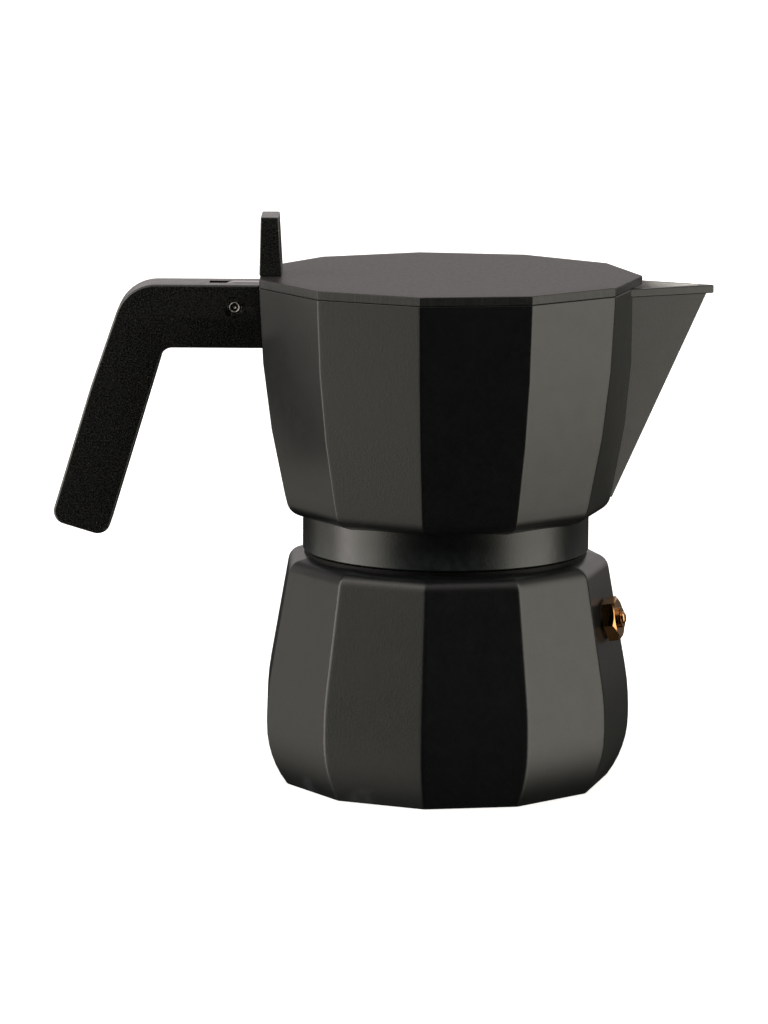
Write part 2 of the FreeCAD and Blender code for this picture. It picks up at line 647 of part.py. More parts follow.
def hinge_sleeve():
    """A headed sleeve from the far cheek, threaded inside for the screw."""
    floor_y = HANDLE_HALF_WIDTH - HINGE_RECESS_DEPTH
    sleeve = cross_cylinder(HINGE_PIN_RADIUS, -floor_y + 0.4, floor_y, HINGE_X, HINGE_Z)
    bore = cross_cylinder(SCREW_RADIUS, -FAR, floor_y - 1.0, HINGE_X, HINGE_Z)
    return sleeve.fuse(hinge_head(1)).cut(bore)


def hinge_screw():
    """A round-headed socket screw from the near cheek, with a ring groove round its socket."""
    floor_y = HANDLE_HALF_WIDTH - HINGE_RECESS_DEPTH
    face_y = -floor_y - HINGE_HEAD_HEIGHT
    shank = cross_cylinder(SCREW_RADIUS, -floor_y, SCREW_END_Y, HINGE_X, HINGE_Z)
    groove = cross_cylinder(RING_RADII[1], face_y - 1, face_y + RING_DEPTH, HINGE_X, HINGE_Z)
    groove = groove.cut(cross_cylinder(RING_RADII[0], face_y - 1, face_y + 1, HINGE_X, HINGE_Z))
    socket = hexagon(SOCKET_WIDTH, -1.0, SOCKET_DEPTH)
    socket.rotate(vec(0, 0, 0), vec(1, 0, 0), -90)
    socket.translate(vec(HINGE_X, face_y, HINGE_Z))
    return hinge_head(-1).fuse(shank).cut(groove).cut(socket)


# ------------------------------------------------------------------ lid
KNOB_SCREW_RADIUS = 1.2
PEG_RADIUS = 1.3
PEG_Y = 6.0
LID_TOP_Z = LID_BOTTOM_Z + LID_THICKNESS
LID_EDGE = 0.4
LID_RING_RADII = (50.4, 52.0)
LID_RING_HEIGHT = 1.8
COUNTERSINK = 1.8            # the knob screw's head, as a multiple of its shank
SCREW_SLOT_HALF_WIDTH = 0.4
SCREW_SLOT_DEPTH = 0.7
KNOB_SCREW_TOP_Z = LID_TOP_Z + 8.0


def lid():
    """A flat eleven-sided plate, with a ring below it that centres it in the rim."""
    plate = faceted([
        (RIM_RADIUS, LID_BOTTOM_Z),
        (RIM_RADIUS, LID_TOP_Z - LID_EDGE),
        (RIM_RADIUS - LID_EDGE, LID_TOP_Z),
    ])
    ring_foot_z = LID_BOTTOM_Z - LID_RING_HEIGHT
    gap_y = ARM_HALF_WIDTH + RUNNING_GAP
    ring = cylinder(LID_RING_RADII[1], ring_foot_z, LID_BOTTOM_Z + OVERLAP)
    ring = ring.cut(cylinder(LID_RING_RADII[0], ring_foot_z - 1, LID_BOTTOM_Z))
    ring = ring.cut(box((-FAR, -gap_y, 0), (0, gap_y, LID_BOTTOM_Z)))
    plate = plate.fuse(ring)
    plate = plate.cut(cylinder(KNOB_SCREW_RADIUS, 0, 200, KNOB_AXIS_X))
    for side in (-1, 1):
        plate = plate.cut(cylinder(PEG_RADIUS, 0, 200, KNOB_AXIS_X, side * PEG_Y))
    return plate


def hinge_arm():
    """A tongue fixed under the lid. It passes through the rim's notch to the hinge's eye."""
    eye_radius = LID_BOTTOM_Z - HINGE_Z
    underside_z = LID_BOTTOM_Z - ARM_THICKNESS
    eye = cross_cylinder(eye_radius, -ARM_HALF_WIDTH, ARM_HALF_WIDTH, HINGE_X, HINGE_Z)
    tongue = slab([
        (HINGE_X, LID_BOTTOM_Z),
        (HINGE_X, HINGE_Z),
        (HINGE_X + 0.92 * eye_radius, HINGE_Z),
        (ARM_BEND_X, underside_z - 0.6, 1.0),
        (ARM_BEND_X + ARM_THICKNESS, underside_z, 2.0),
        (ARM_END_X, underside_z, 1.0),
        (ARM_END_X, LID_BOTTOM_Z),
    ], -ARM_HALF_WIDTH, ARM_HALF_WIDTH)
    arm = eye.fuse(tongue)
    arm = arm.cut(cross_cylinder(HINGE_PIN_RADIUS + HINGE_RUNNING_GAP, -FAR, FAR, HINGE_X, HINGE_Z))
    return arm.cut(countersunk(KNOB_SCREW_RADIUS, underside_z, LID_BOTTOM_Z + 1))


def countersunk(radius, low_z, high_z):
    """The space that the knob's screw fills: a cone below, then its shank."""
    head_radius = radius * COUNTERSINK
    return turned([
        (0, low_z),
        (head_radius, low_z),
        (radius, low_z + head_radius - radius),
        (radius, high_z),
        (0, high_z),
    ]).translated(vec(KNOB_AXIS_X, 0, 0))


def knob():
    """A flat tab across the lid's rear edge, with two pegs that stop it turning."""
    rear, front = KNOB_X
    tab = slab([
        (rear, LID_TOP_Z, KNOB_EDGE),
        (front, LID_TOP_Z, KNOB_EDGE),
        (front - KNOB_TAPER[1], KNOB_TOP_Z, KNOB_EDGE),
        (rear + KNOB_TAPER[0], KNOB_TOP_Z, KNOB_EDGE),
    ], -KNOB_HALF_WIDTH, KNOB_HALF_WIDTH)
    upright = [edge for edge in tab.Edges if abs(edge.tangentAt(edge.FirstParameter).z) > 0.9]
    long_upright = [edge for edge in upright if edge.Length > KNOB_HALF_WIDTH]
    tab = tab.makeFillet(KNOB_EDGE, long_upright)
    for side in (-1, 1):
        tab = tab.fuse(cylinder(PEG_RADIUS, LID_BOTTOM_Z + OVERLAP, LID_TOP_Z + 2, KNOB_AXIS_X, side * PEG_Y))
    return tab.cut(cylinder(KNOB_SCREW_RADIUS, 0, KNOB_SCREW_TOP_Z + 1, KNOB_AXIS_X))


def knob_screw():
    foot_z = LID_BOTTOM_Z - ARM_THICKNESS
    screw = countersunk(KNOB_SCREW_RADIUS, foot_z, KNOB_SCREW_TOP_Z)
    slot = box((-FAR, -SCREW_SLOT_HALF_WIDTH, 0), (0, SCREW_SLOT_HALF_WIDTH, foot_z + SCREW_SLOT_DEPTH))
    return screw.cut(slot)


# ------------------------------------------------------------------ write every piece
PIECES = (
    boiler, valve_body, valve_washer, valve_seat, valve_pin, valve_spring,
    funnel_basket, funnel_strainer, funnel_stem, gasket, filter_plate,
    upper_body, coffee_column, handle, hinge_sleeve, hinge_screw,
    lid, hinge_arm, knob, knob_screw,
)

os.makedirs("parts", exist_ok=True)
for piece in PIECES:
    shape = piece()
    solids = shape.Solids
    state = "valid" if shape.isValid() else "NOT VALID"
    print(f"{piece.__name__}: {len(solids)} solid, {shape.Volume / 1000:.2f} cm3, {state}")
    if len(solids) == 1:
        shape = solids[0]
    shape.exportStep(f"parts/{piece.__name__}.step")
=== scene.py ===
import bmesh
import bpy
import json
import math
from mathutils import Matrix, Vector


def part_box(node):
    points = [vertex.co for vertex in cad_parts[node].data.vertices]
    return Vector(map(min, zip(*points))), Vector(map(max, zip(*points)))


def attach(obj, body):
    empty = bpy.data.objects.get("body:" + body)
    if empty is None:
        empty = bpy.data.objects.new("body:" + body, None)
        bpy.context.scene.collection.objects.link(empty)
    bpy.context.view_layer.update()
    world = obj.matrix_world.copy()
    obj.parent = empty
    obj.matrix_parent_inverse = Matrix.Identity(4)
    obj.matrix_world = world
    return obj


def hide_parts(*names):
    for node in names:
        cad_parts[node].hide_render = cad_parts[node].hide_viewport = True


# A six-cup moka pot with eleven flat sides. The shapes below are drawn in millimetres, in the
# CAD model's frame (+Z up, +X to the spout), and scaled to metres when a piece is finished.

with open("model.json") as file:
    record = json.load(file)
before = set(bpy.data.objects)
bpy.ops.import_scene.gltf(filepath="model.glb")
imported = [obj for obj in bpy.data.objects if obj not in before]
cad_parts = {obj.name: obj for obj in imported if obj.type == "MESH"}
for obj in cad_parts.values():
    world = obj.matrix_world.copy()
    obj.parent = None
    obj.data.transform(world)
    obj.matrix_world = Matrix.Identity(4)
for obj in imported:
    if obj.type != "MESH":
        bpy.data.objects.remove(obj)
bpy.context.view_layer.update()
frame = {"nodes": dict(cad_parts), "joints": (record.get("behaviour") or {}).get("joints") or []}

MM = 0.001
FACETS = 11
STEP = 2 * math.pi / FACETS
FLAT = math.cos(STEP / 2)           # distance of a flat side, for a corner radius of one


def low_mm(node):
    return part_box(node)[0] / MM


def high_mm(node):
    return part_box(node)[1] / MM


def joint_place_mm(name):
    """Where a joint is at rest."""
    for joint in frame["joints"]:
        if joint["name"] == name:
            return [value / MM for value in joint["pos_m"]]
    raise KeyError(name)


# ------------------------------------------------------------------ driving sizes, millimetres
RIM_RADIUS = high_mm("lid").x               # corner radius of the lid and the rim
LID_TOP_Z = high_mm("lid").z
LID_THICKNESS = 2.8
LID_BOTTOM_Z = LID_TOP_Z - LID_THICKNESS
RIM_Z = high_mm("upper_body").z
SKIRT_BOTTOM_Z = low_mm("upper_body").z
NECK_TOP_Z = high_mm("boiler").z
SKIRT_GAP = 0.3
COLLAR_TOP_Z = SKIRT_BOTTOM_Z - SKIRT_GAP
HANDLE_TOP_Z = high_mm("handle").z
HANDLE_HALF_WIDTH = high_mm("handle").y
KNOB_TOP_Z = high_mm("knob").z
KNOB_HALF_WIDTH = high_mm("knob").y
HINGE_X, _, HINGE_Z = joint_place_mm("lid_hinge")
CORE_RADIUS = 5.0                   # where the outlines of closed bodies start, near the axis
COLUMN_CORE_RADIUS = 2.0
MOUTH_CORE_RADIUS = 10.0
ROOF_CORE_RADIUS = 20.0
JOIN_RADIUS = 30.0                  # how far in a ring reaches into the body that it joins
OVERLAP = 0.2                       # how far a body reaches past the edge of another

# Corners below are (radius, z) or (radius, z, rounding).
BASE_RADIUS = 53.4
BASE_EDGE_WIDTH = 0.4
BASE_EDGE_HEIGHT = 0.35
BELLY_RADIUS = 60.0
BELLY_LOW = (BELLY_RADIUS, 9.1, 33.0)
BELLY_HIGH = (BELLY_RADIUS, 29.7, 80.0)
SHOULDER_CORNER = (52.4, 72.3, 5.0)
SHOULDER_Z = 74.0
BOILER_TURN = math.radians(1.2)     # from the boiler's sides to the upper body's
BOILER_CORNER = 2.2                 # rounding of the upright edges between the flat sides
WATER_FLOOR_Z = 4.6
WATER_FLOOR = (BASE_RADIUS - 3.0, WATER_FLOOR_Z, 4.0)
WATER_RADIUS = BELLY_RADIUS - 4.2
WATER_LOW = (WATER_RADIUS, 14.0, 20.0)
WATER_HIGH = (WATER_RADIUS, *BELLY_HIGH[1:])
WATER_SHOULDER = (49.6, 67.5, 4.0)
WATER_ROOF = (42.0, 69.5)
COLLAR_RADIUS = 45.7
COLLAR_FOOT_Z = 69.7
COLLAR_ROUND = 0.3
NECK_RADIUS = 41.0
NECK_FOOT_Z = 69.0
NECK_ROUND = 0.5
MOUTH_RADIUS = 37.0
MOUTH_FOOT_Z = 65.7

SKIRT_RADIUS = 46.2
SKIRT_ROOF_Z = 91.6
SKIRT_EDGE = 0.4                    # turned-off edge at the skirt's foot
SKIRT_EDGE_STEP = 0.02              # between the edge and the skirt, so that they share no line
WALL = 3.4
BODY_CORNER = 1.2
RIM_ROUND = 0.3
BODY_FLOOR_Z = 86.5
BODY_FOOT = (52.4, 88.6, 6.0)
BODY_RUN = 35.1                     # from the rim to the bend in the sides, along an upright edge
BODY_LEAN_TOP = math.radians(1.32)
BODY_LEAN_FOOT = math.radians(14.67)
BODY_BEND_EASE = 0.97               # how much of the run the bend's arc takes up
ROOM_FLOOR_Z = 93.6                 # the coffee room, inside the upper body
ROOM_FOOT = (49.6, ROOM_FLOOR_Z, 2.5)
ROOM_BEND = (61.69, 126.0, 260.0)   # before the wall is taken off
CONE_RADIUS = 40.0
CONE_TOP = (10.0, 98.0)
CONE_ROOT_Z = 93.2
UNDER_FLOOR_Z = 74.2                # the hollow below the coffee room, open to the neck
GASKET_RADIUS = 40.8
PLATE_RADIUS = 33.4
PLATE_ROOM = 0.8                    # how high the room for the filter plate is
PLATE_TOP_Z = high_mm("gasket").z + PLATE_ROOM
DOME_RADIUS = 31.0                  # foot of the hollow that narrows to the coffee column
COLUMN_RADIUS = 5.5
COLUMN_FOOT_Z = 94.4
COLUMN_TOP_Z = 99.0
LID_CORNER = 0.5
LID_FOOT_ROUND = 0.25
LID_TOP_ROUND = 0.35
LID_RING_ROUND = 0.3
LID_RING_OUTER = 52.0
LID_RING_INNER = 50.4
LID_RING_CORE = 46.0                # where the ring is still solid, before its hole is cut
LID_RING_SINK = 0.4                 # how far the ring reaches up into the plate
KNOB_EDGE = 0.4
KNOB_FOOT_EASE = ((0.0, KNOB_EDGE), (0.3, 0.1), (0.6, 0.0), (7.0, 0.0), (13.0, 0.0))
KNOB_TAPER_REAR = 0.4
KNOB_TAPER_FRONT = 1.1

THREAD_PITCH = 3.2
THREAD_DEPTH = 1.2
THREAD_GAP = 0.3
THREAD_START_Z = 77.3
THREAD_TURNS = 1.6
THREAD_ROOT_HALF = 0.9              # half the ridge's height at its root, and at its crest
THREAD_CREST_HALF = 0.4
THREAD_SINK = 0.4                   # how far the ridge reaches into the wall that it stands on

SPOUT_FOOT = (55.3, 95.0)
SPOUT_SLOPE = 0.4433
SPOUT_HALF_ANGLE = math.radians(26.5)
SPOUT_SINE = math.sin(SPOUT_HALF_ANGLE)
SPOUT_WALL = 1.4
SPOUT_EDGE = 0.25
SPOUT_BACK_X = 40.0
HORN_BELOW = 3.0                    # how far the horn starts below the spout's foot
CHANNEL_ABOVE = 2.0                 # and its channel above it
CHANNEL_EDGE = 0.8
LIP_OVERHANG = 1.1
LIP_HEIGHT = 2.6
LIP_EASE = 0.25
LIP_EDGE = 0.3
LIP_BACK_X = 52.0
LIP_TIP_X = high_mm("upper_body").x
HANDLE_DEPTH = 20.3
HANDLE_LEAN = math.radians(16.8)
HANDLE_LEAN_TOP = math.radians(19.0)
HANDLE_BEND_Z = 128.0
HANDLE_EDGE = 0.9
GRIP_INNER_X = -90.7
GRIP_DEPTH = 18.8
GRIP_BOTTOM_Z = 79.3
HANDLE_ROOT_FOOT_X = -59.2
HANDLE_ROOT_TOP_X = -60.2
HANDLE_TOP_ROUND = 13.5
HANDLE_BEND_ROUND = 150.0
GRIP_FOOT_ROUND = 4.3
GRIP_CROOK_ROUND = 3.5
POCKET_FLOOR = 2.1
POCKET_END_X = -73.8                # the pocket for both ears, then the slot for the lid's tongue
POCKET_HALF_WIDTH = 5.4
SLOT_END_X = -76.4
SLOT_HALF_WIDTH = 3.0
EAR_ROOT_X = -58.0
EAR_END_X = -73.1
EAR_FOOT_Z = 143.5
EAR_TOP_Z = 158.6
EAR_ROUND = 4.0
EAR_HEADROOM = 0.3
EAR_HALF_THICKNESS = 1.25
EAR_Y = 3.95
NOTCH_START_X = -65.0               # where the rim is cut away for the lid's tongue
NOTCH_END_X = -52.0
NOTCH_HALF_WIDTH = 2.8
NOTCH_FOOT_Z = 156.4
TONGUE_GAP_HALF = 2.7
PIN_RADIUS = 2.5
RECESS_RADIUS = 3.4
RECESS_FLOOR_Y = 8.0
SCREW_HEAD_RADIUS = 3.3
SCREW_HEAD_HEIGHT = 1.3
SCREW_RADIUS = 1.5

LEAST_ROUNDING = 0.05
LEAST_EDGE_METRES = 1e-7
ARC_STEP = math.radians(7)          # how finely round stretches are divided
RUN_STEP = 7.0                      # how finely straight stretches are divided

# Where cutting bodies end, clear of what they cut.
BEYOND_Y = 20.0
BEYOND_FRONT_X = 100.0
BEYOND_REAR_X = -80.0
BEYOND_TOP_Z = 180.0
BEYOND_MOUTH_Z = 90.0
BEYOND_LIP_Z = 140.0
BEYOND_LID_RING_Z = 150.0
PIN_HOLE_HALF_LENGTH = 12.0
CUT_PAST = 1.0                      # beyond the face that a cut opens


# ------------------------------------------------------------------ outlines
def unit(start, end):
    """The direction from one point to another, one long."""
    length = math.hypot(end[0] - start[0], end[1] - start[1])
    return ((end[0] - start[0]) / length, (end[1] - start[1]) / length)


def arc_points(before, corner, after):
    """The rounded corner's points. A corner with no radius is one point."""
    if len(corner) < 3 or corner[2] <= 0:
        return [corner[:2]]
    radius = corner[2]
    to_before = unit(corner, before)
    to_after = unit(corner, after)
    cosine = to_before[0] * to_after[0] + to_before[1] * to_after[1]
    half_angle = math.acos(max(-1.0, min(1.0, cosine))) / 2
    turn = math.pi - 2 * half_angle
    middle = (to_before[0] + to_after[0], to_before[1] + to_after[1])
    scale = radius / math.sin(half_angle) / math.hypot(*middle)
    centre = (corner[0] + middle[0] * scale, corner[1] + middle[1] * scale)
    reach = radius / math.tan(half_angle)
    start = (corner[0] + to_before[0] * reach, corner[1] + to_before[1] * reach)
    first = math.atan2(start[1] - centre[1], start[0] - centre[0])
    cross = to_before[0] * to_after[1] - to_before[1] * to_after[0]
    direction = -1 if cross > 0 else 1
    count = max(3, math.ceil(turn / ARC_STEP))
    points = []
    for index in range(count + 1):
        angle = first + direction * turn * index / count
        x = centre[0] + radius * math.cos(angle)
        y = centre[1] + radius * math.sin(angle)
        points.append((x, y))
    return points


def between(start, end, share):
    return (start[0] + (end[0] - start[0]) * share, start[1] + (end[1] - start[1]) * share)


def sampled(corners, closed):
    """An outline's points: round corners as arcs, and long straight runs divided."""
    count = len(corners)
    groups = []
    for index, corner in enumerate(corners):
        if closed or 0 < index < count - 1:
            groups.append(arc_points(corners[index - 1], corner, corners[(index + 1) % count]))
        else:
            groups.append([corner[:2]])
    points = []
    for index, group in enumerate(groups):
        points += group
        if not closed and index == count - 1:
            break
        start, end = group[-1], groups[(index + 1) % count][0]
        pieces = math.ceil(math.hypot(end[0] - start[0], end[1] - start[1]) / RUN_STEP)
        for step in range(1, pieces):
            points.append(between(start, end, step / pieces))
    return points


def inset(corners, distance):
    """The outline moved inwards. It runs counter-clockwise, and its roundings shrink or grow."""
    count = len(corners)
    moved = []
    for index, corner in enumerate(corners):
        first = unit(corners[index - 1], corner)
        second = unit(corner, corners[(index + 1) % count])
        turn = first[0] * second[1] - first[1] * second[0]
        share = distance / (1 + first[0] * second[0] + first[1] * second[1])
        x = corner[0] + (-first[1] - second[1]) * share
        y = corner[1] + (first[0] + second[0]) * share
        radius = corner[2] if len(corner) > 2 else 0
        if radius:
            radius = max(LEAST_ROUNDING, radius - math.copysign(distance, turn))
        moved.append((x, y, radius))
    return moved


# ------------------------------------------------------------------ rings and lofts
def corner_point(distance, corner_angle, bend, angle):
    """A point on a rounded corner: out to the rounding's centre, then on by its radius."""
    x = distance * math.cos(corner_angle) + bend * math.cos(angle)
    y = distance * math.sin(corner_angle) + bend * math.sin(angle)
    return (x, y)


ROUND_SIDES = 160
ROD_SIDES = 64
CORNER_STEPS = 6
BEND_LIMIT = 0.3                    # of the radius, so that sections near the axis keep flat sides
FLAT_SHARES = (0.025, 0.3, 0.5, 0.7, 0.975)     # points along a flat side, two close to its ends


def facet_ring(rounding, turn=0.0):
    """Eleven-sided sections of any radius, with rounded corners."""
    def ring(radius):
        bend = min(rounding, radius * BEND_LIMIT)
        distance = (radius * FLAT - bend) / FLAT
        points = []
        for facet in range(FACETS):
            corner_angle = turn + facet * STEP
            for index in range(CORNER_STEPS + 1):
                angle = corner_angle - STEP / 2 + STEP * index / CORNER_STEPS
                points.append(corner_point(distance, corner_angle, bend, angle))
            start = points[-1]
            end = corner_point(distance, corner_angle + STEP, bend, corner_angle + STEP / 2)
            for share in FLAT_SHARES:
                points.append(between(start, end, share))
        return points
    return ring


def round_ring(radius, count=ROUND_SIDES):
    return [
        (radius * math.cos(2 * math.pi * index / count), radius * math.sin(2 * math.pi * index / count))
        for index in range(count)
    ]


def solid_from_rings(rings):
    """A closed mesh through rings of equally many 3-D points, with its two ends filled."""
    mesh = bmesh.new()
    rows = [[mesh.verts.new(point) for point in ring] for ring in rings]
    count = len(rows[0])
    for below, above in zip(rows, rows[1:]):
        for index in range(count):
            after = (index + 1) % count
            mesh.faces.new((below[index], below[after], above[after], above[index]))
    mesh.faces.new(rows[0][::-1])
    mesh.faces.new(rows[-1])
    bmesh.ops.recalc_face_normals(mesh, faces=mesh.faces)
    return mesh


def make_object(name, mesh, material):
    data = bpy.data.meshes.new(name)
    mesh.to_mesh(data)
    mesh.free()
    data.materials.append(material)
    made = bpy.data.objects.new(name, data)
    bpy.context.scene.collection.objects.link(made)
    return made


def loft(name, corners, ring, material):
    """A body with the given upright outline, and the section that ring gives for each radius."""
    points = sampled(corners, closed=False)
    rings = [[(x, y, z) for x, y in ring(radius)] for radius, z in points]
    return make_object(name, solid_from_rings(rings), material)


def slab(name, corners, half_width, edge, material):
    """An XZ outline given thickness along Y, with its long edges rounded if edge isn't nought."""
    steps = 5
    levels = []
    for index in range(steps + 1):
        angle = math.pi / 2 * index / steps
        levels.append((edge * (1 - math.sin(angle)), half_width - edge * (1 - math.cos(angle))))
    if edge == 0:
        levels = levels[:1]
    rings = []
    for depth, y in [(depth, -y) for depth, y in levels] + levels[::-1]:
        rings.append([(x, y, z) for x, z in sampled(inset(corners, depth), closed=True)])
    return make_object(name, solid_from_rings(rings), material)


def block(low, high, material):
    """A plain box, only ever used to cut other pieces."""
    mesh = bmesh.new()
    bmesh.ops.create_cube(mesh, size=1.0)
    size = [high[axis] - low[axis] for axis in range(3)]
    middle = [(high[axis] + low[axis]) / 2 for axis in range(3)]
    bmesh.ops.scale(mesh, vec=size, verts=mesh.verts)
    bmesh.ops.translate(mesh, vec=middle, verts=mesh.verts)
    return make_object("block", mesh, material)


def hinge_rod(radius, low_y, high_y, material):
    """A cylinder along the hinge's axis, only ever used to cut other pieces."""
    circle = round_ring(radius, ROD_SIDES)
    rings = [[(HINGE_X + a, y, HINGE_Z + b) for a, b in circle] for y in (low_y, high_y)]
    return make_object("rod", solid_from_rings(rings), material)


def combine(target, others, operation):
    """Joins the others to the target or cuts them from it, and removes them."""
    for other in others:
        modifier = target.modifiers.new("join", "BOOLEAN")
        modifier.operation = operation
        modifier.solver = "EXACT"
        modifier.material_mode = "TRANSFER"
        modifier.object = other
    bpy.context.view_layer.update()
    evaluated = target.evaluated_get(bpy.context.evaluated_depsgraph_get())
    result = bpy.data.meshes.new_from_object(evaluated)
    target.modifiers.clear()
    target.data = result
    for other in others:
        bpy.data.objects.remove(other)
    return target


def finish_piece(piece, body, replaced, crease=28):
    """To metres, smooth with sharp creases, on its body and in place of its CAD node."""
    piece.data.transform(Matrix.Scale(MM, 4))
    mesh = bmesh.new()
    mesh.from_mesh(piece.data)
    bmesh.ops.dissolve_degenerate(mesh, edges=mesh.edges, dist=LEAST_EDGE_METRES)
    mesh.to_mesh(piece.data)
    mesh.free()
    for polygon in piece.data.polygons:
        polygon.use_smooth = True
    piece.data.set_sharp_from_angle(angle=math.radians(crease))
    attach(piece, body)
    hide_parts(replaced)
    return piece


# ------------------------------------------------------------------ materials
# Noise scales are per metre, and depths of relief are in metres.
COAT_RELIEF = 0.00002
BAND_NORMAL_Z = 0.5                 # below this the lid's surface counts as its edge band
EDGE_WEAR_AND_HIGHLIGHT_GAIN = 7                     # how much lighter the coat is painted on sharp edges: partly rubbed wear, partly a painted highlight
EDGE_POINTINESS_LOW = 0.515
EDGE_POINTINESS_HIGH = 0.56
MIX_COLORS = (6, 7)                 # which sockets of a mix node take and give colours
MIX_RESULT = 2


class Graph:
    """A short way to write a node graph."""

    def __init__(self, tree):
        self.tree = tree

    def add(self, kind, **settings):
        node = self.tree.nodes.new(kind)
        for key, value in settings.items():
            setattr(node, key, value)
        return node

    def link(self, source, target):
        self.tree.links.new(source, target)

    def multiply(self, first, second):
        node = self.add("ShaderNodeMath", operation="MULTIPLY")
        self.link(first, node.inputs[0])
        self.link(second, node.inputs[1])
        return node.outputs[0]


class Surface(Graph):
    """A material's graph, with its textures placed in the piece's own space."""

    def __init__(self, name):
        self.material = bpy.data.materials.new(name)
        self.material.use_nodes = True
        super().__init__(self.material.node_tree)
        self.shader = self.tree.nodes["Principled BSDF"]
        self.place = self.add("ShaderNodeTexCoord").outputs["Object"]

    def noise(self, scale, detail=2.0, stretch=None, roughness=0.5):
        node = self.add("ShaderNodeTexNoise")
        node.inputs["Scale"].default_value = scale
        node.inputs["Detail"].default_value = detail
        node.inputs["Roughness"].default_value = roughness
        source = self.place
        if stretch:
            mapping = self.add("ShaderNodeMapping")
            mapping.inputs["Scale"].default_value = stretch
            self.link(source, mapping.inputs["Vector"])
            source = mapping.outputs["Vector"]
        self.link(source, node.inputs["Vector"])
        return node.outputs["Fac"]

    def spread(self, source, low, high, from_low=0.3, from_high=0.7):
        node = self.add("ShaderNodeMapRange")
        node.inputs["From Min"].default_value = from_low
        node.inputs["From Max"].default_value = from_high
        node.inputs["To Min"].default_value = low
        node.inputs["To Max"].default_value = high
        self.link(source, node.inputs["Value"])
        return node.outputs["Result"]

    def blend(self, factor, first, second):
        """Mixes two colours, each a tuple or another node's output."""
        node = self.add("ShaderNodeMix", data_type="RGBA")
        for place, value in zip(MIX_COLORS, (first, second)):
            if isinstance(value, tuple):
                node.inputs[place].default_value = (*value, 1.0)
            else:
                self.link(value, node.inputs[place])
        self.link(factor, node.inputs[0])
        return node.outputs[MIX_RESULT]

    def bump(self, height, distance, below=None):
        node = self.add("ShaderNodeBump")
        node.inputs["Distance"].default_value = distance
        node.inputs["Strength"].default_value = 1.0
        self.link(height, node.inputs["Height"])
        if below is not None:
            self.link(below, node.inputs["Normal"])
        return node.outputs["Normal"]

    def sharp_edges(self):
        """One on sharp outside edges, nought elsewhere."""
        pointiness = self.add("ShaderNodeNewGeometry").outputs["Pointiness"]
        return self.spread(pointiness, 0.0, 1.0, EDGE_POINTINESS_LOW, EDGE_POINTINESS_HIGH)

    def output(self, color=None, roughness=None, normal=None):
        for name, source in (("Base Color", color), ("Roughness", roughness), ("Normal", normal)):
            if source is not None:
                self.link(source, self.shader.inputs[name])
        return self.material


def coat_material(name, dark, light, roughness, specular=0.5):
    """Satin black powder coat: fine orange peel, faint clouding, and sharp edges painted a little
    lighter, partly as rubbed wear and partly as a painted highlight.
    """
    made = Surface(name)
    clouds = made.noise(600.0, 4.0)
    color = made.blend(made.spread(clouds, 0.0, 1.0), dark, light)
    # Sharp edges are painted lighter: partly rubbed wear, partly a painted highlight for the light that
    # the edges catch.
    edge_wear_and_highlight = tuple(EDGE_WEAR_AND_HIGHLIGHT_GAIN * channel for channel in light)
    lighter_edges = made.multiply(made.sharp_edges(), made.spread(made.noise(400.0, 3.0), 0.1, 0.6))
    color = made.blend(lighter_edges, color, edge_wear_and_highlight)
    grain = made.noise(1900.0, 3.0)
    rough = made.multiply(
        made.spread(made.noise(160.0, 3.0), roughness - 0.015, roughness + 0.015),
        made.spread(grain, 0.94, 1.06),
    )
    made.shader.inputs["Specular IOR Level"].default_value = specular
    normal = made.bump(made.noise(1300.0, 2.0), COAT_RELIEF)
    normal = made.bump(grain, COAT_RELIEF, below=normal)
    return made.output(color, rough, normal)


def lid_material():
    """The lid's coat, with upright milling marks on its edge band, and its top face painted lighter
    than the band as painted light from above.
    """
    made = Surface("lid_coat_finish")
    upright = made.add("ShaderNodeSeparateXYZ")
    made.link(made.add("ShaderNodeNewGeometry").outputs["Normal"], upright.inputs[0])
    on_band = made.add("ShaderNodeMath", operation="LESS_THAN")
    on_band.inputs[1].default_value = BAND_NORMAL_Z
    made.link(upright.outputs["Z"], on_band.inputs[0])
    milling = made.noise(2600.0, 3.0, stretch=(1.0, 1.0, 0.02), roughness=0.7)
    marks = made.multiply(milling, on_band.outputs[0])
    clouds = made.spread(made.noise(300.0, 4.0), 0.0, 1.0)
    # Painted light: the top face is coloured lighter than the edge band, standing in for the light that
    # falls on it from above.
    top = made.blend(clouds, (0.019, 0.0178, 0.0178), (0.026, 0.024, 0.024))
    scored = made.spread(marks, 0.0, 1.0, 0.5, 0.7)
    band = made.blend(scored, (0.003, 0.004, 0.0042), (0.022, 0.022, 0.021))
    color = made.blend(on_band.outputs[0], top, band)
    rough = made.spread(made.noise(800.0, 3.0), 0.4, 0.47)
    normal = made.bump(made.noise(1500.0, 2.0), 0.00003)
    normal = made.bump(marks, 0.00004, below=normal)
    return made.output(color, rough, normal)


def grip_material():
    """Moulded black plastic with a fine spark-eroded grain, and small light specks painted into its
    colour as glints.
    """
    made = Surface("grip_finish")
    grain = made.noise(1900.0, 2.0, roughness=0.6)
    speckle = made.spread(grain, 0.0, 1.0, 0.38, 0.62)
    color = made.blend(speckle, (0.0016, 0.0019, 0.002), (0.026, 0.027, 0.027))
    # Painted highlights: light specks in the colour stand in for glints of light on the grain.
    painted_glints = made.spread(made.noise(2300.0, 1.0), 0.0, 1.0, 0.68, 0.8)
    color = made.blend(painted_glints, color, (0.13, 0.13, 0.127))
    lighter_edges = made.multiply(made.sharp_edges(), made.spread(made.noise(500.0, 3.0), 0.1, 0.5))
    color = made.blend(lighter_edges, color, (0.07, 0.07, 0.068))
    rough = made.spread(made.noise(260.0, 3.0), 0.22, 0.28)
    made.shader.inputs["Specular IOR Level"].default_value = 0.65
    normal = made.bump(grain, 0.00004)
    return made.output(color, rough, normal)


